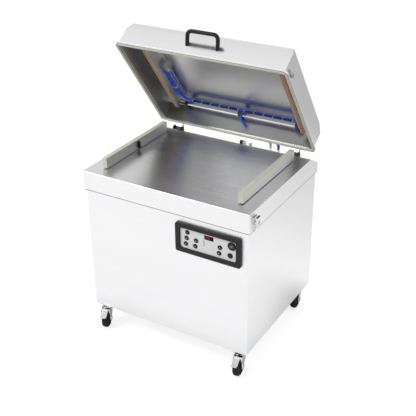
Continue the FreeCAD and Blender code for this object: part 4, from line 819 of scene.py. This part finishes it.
# Profiles by the way out from the swept line and the way up from the gasket's foot
BAND_PROFILE = [(RECESS, 0.0072), (RECESS, 0.0040), (HALF_LIP, 0.0036), (HALF_LIP, 0.0012),
                (HALF_LIP - 0.0010, 0.0003), (0.0040, 0.0003), (0.0028, 0.0024), (0.0004, 0.0024),
                (-0.0008, 0.0003), (-0.0034, 0.0003), (INNER_FACE, 0.0012), (INNER_FACE, 0.0072)]
SHADE_STRIP_PROFILE = [(SHADE_STRIP_OUTER, 0.0040), (SHADE_STRIP_OUTER, 0.0070), (SHADE_STRIP_INNER, 0.0070), (SHADE_STRIP_INNER, 0.0040)]
CHANNEL_PROFILE = [(HALF_LIP, 0.0070), (HALF_LIP, 0.0152), (INNER_FACE, 0.0152), (INNER_FACE, 0.0070)]
MIDDLE_LEVEL = 0.0075
GASKET_PLAY = 0.0006
GASKET_SMOOTH = math.radians(35)
GASKET_PLACE = LID_PLACE @ Matrix.Translation(in_lid(0, LID_DEPTH / 2, -MIDDLE_LEVEL))
GASKET_SIZE = {"Width": LID_WIDTH - GASKET_PLAY - LIP, "Length": LID_DEPTH - GASKET_PLAY - LIP,
               "Corner": 0.022 - HALF_LIP}
for name, profile, finish in (("gasket_band", BAND_PROFILE, SEAL_RUBBER),
                              ("gasket_shade_strip", SHADE_STRIP_PROFILE, GASKET_SHADE_RUBBER),
                              ("gasket_channel", CHANNEL_PROFILE, LID_STEEL)):
    section = profile_mesh(name + "_profile", [(u, MIDDLE_LEVEL - v) for u, v in profile])
    band = grown(name, section, SWEEP, GASKET_SIZE, finish, "lid", GASKET_PLACE)
    band.data.shade_smooth()
    band.data.set_sharp_from_angle(angle=GASKET_SMOOTH)
    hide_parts("lid_gasket")

# A painted shade strip along the foot of the table's apron, standing for the shadow under its edge,
# darker on the front than on the sides
SEAM_HEIGHT = 0.0026
SEAM_PROUD = 0.0004
SEAM_SUNK = -0.001
SEAM_SIZE = {"Width": 0.900, "Length": 0.730, "Corner": 0.004}
seam_profile = [(SEAM_SUNK, 0), (SEAM_PROUD, 0), (SEAM_PROUD, -SEAM_HEIGHT), (SEAM_SUNK, -SEAM_HEIGHT)]
grown("apron_shade_strip", profile_mesh("seam_profile", seam_profile), SWEEP, SEAM_SIZE, APRON_PAINTED_SHADE, "machine",
      Matrix.Translation((0, 0, APRON_FOOT)))

# Black nozzle bars beside the gas hose, and the light ties that hold them to it
BAR_COUNT = 5
BAR_PITCH = 0.054
BAR_LENGTH = 0.0500
BAR_WIDTH = 0.009
BAR_SETBACK = 0.0672
BAR_LEVEL = 0.0970
TIE_THICKNESS = 0.0012
HOSE_TIE_RADIUS = 0.0088
BAR_TIE_RADIUS = 0.0056
BAR_RUN = BAR_PITCH * (BAR_COUNT - 1)
BAR_STARTS = {"left": -0.0375 - BAR_RUN, "right": 0.0545}
for side, start in BAR_STARTS.items():
    end = start + BAR_RUN
    bar_ends = [in_lid(x, BAR_SETBACK, BAR_LEVEL) for x in (start, end)]
    grown("nozzle_bars_" + side, line_mesh("strip_line", bar_ends), STRIP,
          {"Count": BAR_COUNT, "Length": BAR_LENGTH, "Width": BAR_WIDTH}, BLACK_PLASTIC, "lid", LID_PLACE)
    half = BAR_PITCH / 2
    for kind, setback, level, radius in (("hose", GAS_SETBACK, GAS_LEVEL, HOSE_TIE_RADIUS),
                                         ("bar", BAR_SETBACK, BAR_LEVEL, BAR_TIE_RADIUS)):
        tie_ends = [in_lid(x, setback, level) for x in (start - half, end + half)]
        grown(kind + "_ties_" + side, line_mesh("tie_line", tie_ends), TIES,
              {"Count": BAR_COUNT + 1, "Radius": radius, "Thickness": TIE_THICKNESS}, TIE_NYLON, "lid",
              LID_PLACE)

# Clips on the gas hose's left run
CLIP_PLACES = ((-0.3395, 0.312), (-0.3534, 0.165))
clip_ends = [in_lid(x, setback, GAS_LEVEL) for x, setback in CLIP_PLACES]
grown("hose_clips", line_mesh("clip_line", clip_ends), TIES,
      {"Count": 2, "Radius": 0.0096, "Thickness": 0.0030}, TIE_NYLON, "lid", LID_PLACE)

# Turned forms and printed marks


def turned_disc(profile, steps=32):
    """A solid of revolution about Z from points that start and end on the axis."""
    form = bmesh.new()
    turns = [2 * math.pi * k / steps for k in range(steps)]
    rings = []
    for radius, height in profile:
        places = [(radius * math.cos(a), radius * math.sin(a), height) for a in turns]
        if radius:
            rings.append([form.verts.new(place) for place in places])
        else:
            rings.append([form.verts.new(places[0])] * steps)
    for ring, following in zip(rings, rings[1:]):
        for k in range(steps):
            corners = (ring[k - 1], ring[k], following[k], following[k - 1])
            form.faces.new(list(dict.fromkeys(corners)))
    bmesh.ops.recalc_face_normals(form, faces=form.faces)
    return form


def dot(radius, rise=0.0003):
    """A low disc with a softened edge."""
    flat = radius * 0.8
    shoulder = rise * 0.4
    return turned_disc([(0, rise), (flat, rise), (radius, shoulder), (radius, -rise), (0, -rise)])


def outline_slab(loops, rise=0.00025):
    """Flat marks, each from an outline, raised a little from what they are printed on."""
    form = bmesh.new()
    for loop in loops:
        low = [form.verts.new((x, y, -rise)) for x, y in loop]
        high = [form.verts.new((x, y, rise)) for x, y in loop]
        count = len(loop)
        form.faces.new(high)
        form.faces.new(low[::-1])
        for k in range(count):
            form.faces.new((low[k], low[(k + 1) % count], high[(k + 1) % count], high[k]))
    bmesh.ops.recalc_face_normals(form, faces=form.faces)
    return form


def form_piece(name, form, place, material, body):
    mesh = form_mesh(name, form)
    mesh.transform(place)
    mesh_piece(name, mesh, material, body)


def print_piece(name, form, shift, material, body):
    """A mark on the panel, set by its place across, up and out of the face."""
    form_piece(name, form, PANEL_PLACE @ Matrix.Translation(shift), material, body)


# The six-sided nut at the start of the gas hose
NUT_SETBACK = 0.331
NUT_PROFILE = [(0, 0.0085), (0.0105, 0.0085), (0.0125, 0.0070), (0.0125, -0.0085), (0, -0.0085)]
nut_shift = Matrix.Translation(in_lid(GAS_SIDE, NUT_SETBACK, GAS_LEVEL))
nut_place = LID_PLACE @ nut_shift @ Matrix.Rotation(math.pi / 2, 4, "X")
form_piece("hose_nut", turned_disc(NUT_PROFILE, 6), nut_place, TIE_NYLON, "lid")

# Print on the buttons
DOT_RADIUS = 0.0030
STOP_DOT_RADIUS = 0.0042
START_PROFILE = [(0, 0.0006), (0.0115, 0.0006), (0.0125, 0.0002), (0.0125, -0.0003), (0, -0.0003)]
START_MARK = [[(-0.0030, -0.0045), (-0.0014, -0.0045), (-0.0014, 0.0045), (-0.0030, 0.0045)],
              [(0.0006, -0.0045), (0.0046, 0.0), (0.0006, 0.0045)]]
MARK_FACE = CAP_FACE + 0.0008
for label, (x, y) in SMALL_BUTTONS.items():
    finish = ICON_RED if label == "left_1" else ICON_LIGHT
    print_piece("icon_" + label, dot(DOT_RADIUS), (x, y, CAP_FACE), finish, "button_" + label)
print_piece("icon_start_face", turned_disc(START_PROFILE), (*START_AT, CAP_FACE), ICON_DARK,
            "button_start")
print_piece("icon_start_mark", outline_slab(START_MARK), (*START_AT, MARK_FACE), ICON_LIGHT,
            "button_start")
print_piece("icon_stop", dot(STOP_DOT_RADIUS), (*STOP_AT, CAP_FACE), ICON_DARK, "button_stop")


def seven_segments(lit, x, y, wide, tall, bar):
    """The lit bars of one digit, with pointed ends."""
    half = bar / 2
    gap = bar * 0.15

    def level(cx, cy, run):
        r = run / 2 - gap
        return [(cx - r, cy), (cx - r + half, cy + half), (cx + r - half, cy + half), (cx + r, cy),
                (cx + r - half, cy - half), (cx - r + half, cy - half)]

    def upright(cx, cy, run):
        return [(px + cx, py + cy) for py, px in level(0, 0, run)]

    w, h = wide / 2, tall / 2
    bars = {"a": level(x, y + h, wide), "g": level(x, y, wide), "d": level(x, y - h, wide),
            "f": upright(x - w, y + h / 2, h), "b": upright(x + w, y + h / 2, h),
            "e": upright(x - w, y - h / 2, h), "c": upright(x + w, y - h / 2, h)}
    return [bars[name] for name in lit]


# Digits in the display and the scale below it, whose strokes are short and long in turn
DIGIT_LEVEL = 0.033
DIGIT_SIZE = (0.0075, 0.0125, 0.0021)
SCALE_SIDE = -0.0245
SCALE_TOP = 0.0135
SCALE_PITCH = 0.005
STROKE_WIDTH = 0.0020
STROKE_RUNS = (0.006, 0.009, 0.006, 0.009, 0.006, 0.009)
SCALE_RISE = 0.0002


def stroke(y, run):
    end = SCALE_SIDE + run
    return [(SCALE_SIDE, y), (end, y), (end, y + STROKE_WIDTH), (SCALE_SIDE, y + STROKE_WIDTH)]


digits = seven_segments("abged", -0.0070, DIGIT_LEVEL, *DIGIT_SIZE)
digits += seven_segments("abcdef", 0.0060, DIGIT_LEVEL, *DIGIT_SIZE)
print_piece("display_digits", outline_slab(digits), (0, 0, PANE_FACE), DIGIT_RED, "machine")
scale_marks = [stroke(SCALE_TOP - SCALE_PITCH * k, run) for k, run in enumerate(STROKE_RUNS)]
print_piece("display_scale", outline_slab(scale_marks, SCALE_RISE), (0, 0, PLATE_FACE), PRINT_GREY,
            "machine")

# Stage
FLOOR_SPAN = 12.0
floor_corners = [(-FLOOR_SPAN, -FLOOR_SPAN, 0), (FLOOR_SPAN, -FLOOR_SPAN, 0),
                 (FLOOR_SPAN, FLOOR_SPAN, 0), (-FLOOR_SPAN, FLOOR_SPAN, 0)]
floor_mesh = bpy.data.meshes.new("floor")
floor_mesh.from_pydata(floor_corners, [], [(0, 1, 2, 3)])
floor = link_item("floor", floor_mesh)


def mapped(tree, value, limits):
    """A value carried from one range to another, held at its ends."""
    node = tree.nodes.new("ShaderNodeMapRange")
    tree.links.new(value, node.inputs["Value"])
    for label, limit in zip(("From Min", "From Max", "To Min", "To Max"), limits):
        node.inputs[label].default_value = limit
    return node.outputs["Result"]


def ramped(tree, value, stops):
    """A grey value that follows stops of place and brightness."""
    node = tree.nodes.new("ShaderNodeValToRGB")
    scale = node.color_ramp.elements
    while len(scale) < len(stops):
        scale.new(0.5)
    for stop, (place, grey) in zip(scale, stops):
        stop.position = place
        stop.color = (grey, grey, grey, 1)
    tree.links.new(value, node.inputs["Fac"])
    return node.outputs["Color"]


def sight_rays(tree):
    """The outputs of Light Path and a mask of the rays that come straight from the camera."""
    path = tree.nodes.new("ShaderNodeLightPath").outputs
    return path, math_node(tree, "MAXIMUM", path["Is Camera Ray"], path["Is Transmission Ray"])


# How brightly the floor shines for the camera, and for mirrors from in front of the machine to behind it
FLOOR_SEEN = 0.70
FLOOR_DEPTHS = (-1.0, 3.0, 0.0, 1.0)
FLOOR_MIRRORED = ((0.0, 0.50), (0.15, 0.52), (0.38, 0.71), (0.60, 0.46), (1.0, 0.17))
# The mirrored shade under the machine: its fade, its shortening in depth and its widening behind
SHADE_FADE = (0.40, 0.62, 0.1, 1.0)
SHADE_DEPTH_STRETCH = 1.12
SHADE_WIDER_BEHIND = (0.0, 0.5, 0.0, 0.175)


def make_floor_paint():
    """A pale floor, white to the camera; mirrors see it dim under the machine and far behind it."""
    material, tree, shader = start_material("pale_floor")
    shader.inputs["Base Color"].default_value = (0.6, 0.6, 0.6, 1)
    shader.inputs["Roughness"].default_value = 0.9
    shader.inputs["Specular IOR Level"].default_value = 0.0
    shader.inputs["Emission Color"].default_value = (1, 1, 1, 1)
    axes = split_axes(tree, tree.nodes.new("ShaderNodeTexCoord").outputs["Object"])
    across = math_node(tree, "ABSOLUTE", axes["X"])
    along = math_node(tree, "MULTIPLY", math_node(tree, "ABSOLUTE", axes["Y"]), SHADE_DEPTH_STRETCH)
    narrowed = math_node(tree, "SUBTRACT", across, mapped(tree, axes["Y"], SHADE_WIDER_BEHIND))
    clear = math_node(tree, "MAXIMUM", narrowed, along)
    glow = ramped(tree, mapped(tree, axes["Y"], FLOOR_DEPTHS), FLOOR_MIRRORED)
    path, direct = sight_rays(tree)
    seen = math_node(tree, "MULTIPLY", direct, FLOOR_SEEN)
    shaded = math_node(tree, "MULTIPLY", glow, mapped(tree, clear, SHADE_FADE))
    mirrored = math_node(tree, "MULTIPLY", path["Is Glossy Ray"], shaded)
    tree.links.new(math_node(tree, "ADD", seen, mirrored), shader.inputs["Emission Strength"])
    return material


coat(floor, make_floor_paint())

# The studio's light for every ray, and what the camera and mirrors see on top of it
STUDIO_LIGHT = 0.55
STUDIO_SEEN = 0.45
STUDIO_MIRRORED = ((0.0, 0.36), (0.45, 0.25), (0.65, 0.50))


def make_studio():
    """A white surrounding whose mirrored brightness changes towards the back."""
    world = bpy.data.worlds.new("studio")
    bpy.context.scene.world = world
    world.use_nodes = True
    tree = world.node_tree
    backdrop = tree.nodes["Background"]
    backdrop.inputs["Color"].default_value = (1, 1, 1, 1)
    path, direct = sight_rays(tree)
    heading = split_axes(tree, tree.nodes.new("ShaderNodeTexCoord").outputs["Generated"])
    mirror = math_node(tree, "MULTIPLY", path["Is Glossy Ray"],
                       ramped(tree, heading["Y"], STUDIO_MIRRORED))
    bright = math_node(tree, "MAXIMUM", math_node(tree, "MULTIPLY", direct, STUDIO_SEEN), mirror)
    tree.links.new(math_node(tree, "ADD", bright, STUDIO_LIGHT), backdrop.inputs["Strength"])


make_studio()


def soft_box(name, at, target, size, power):
    lamp = bpy.data.lights.new(name, "AREA")
    lamp.size = size
    lamp.energy = power
    item = link_item(name, lamp)
    item.location = at
    item.rotation_euler = (Vector(target) - Vector(at)).to_track_quat("-Z", "Y").to_euler()


LAMP_TARGET = (0, 0, 0.7)
soft_box("key_box", (-2.2, -2.6, 3.6), LAMP_TARGET, 2.4, 70)
soft_box("fill_box", (2.8, -1.2, 3.0), LAMP_TARGET, 2.0, 15)


def aim_camera():
    forward = Vector((math.sin(CAMERA_AZIMUTH) * math.cos(CAMERA_DIP),
                      math.cos(CAMERA_AZIMUTH) * math.cos(CAMERA_DIP), -math.sin(CAMERA_DIP)))
    right = Vector((math.cos(CAMERA_AZIMUTH), -math.sin(CAMERA_AZIMUTH), 0))
    up = right.cross(forward)
    across = math.cos(CAMERA_ROLL) * right + math.sin(CAMERA_ROLL) * up
    upright = math.cos(CAMERA_ROLL) * up - math.sin(CAMERA_ROLL) * right
    turn = Matrix((across, upright, -forward)).transposed()
    camera = bpy.data.cameras.new("photo_camera")
    camera.lens = CAMERA_LENS
    camera.sensor_width = SENSOR_WIDTH
    item = link_item("photo_camera", camera)
    item.matrix_world = Matrix.Translation(CAMERA_AT) @ turn.to_4x4()
    bpy.context.scene.camera = item


aim_camera()
bpy.context.scene.view_settings.view_transform = "Standard"
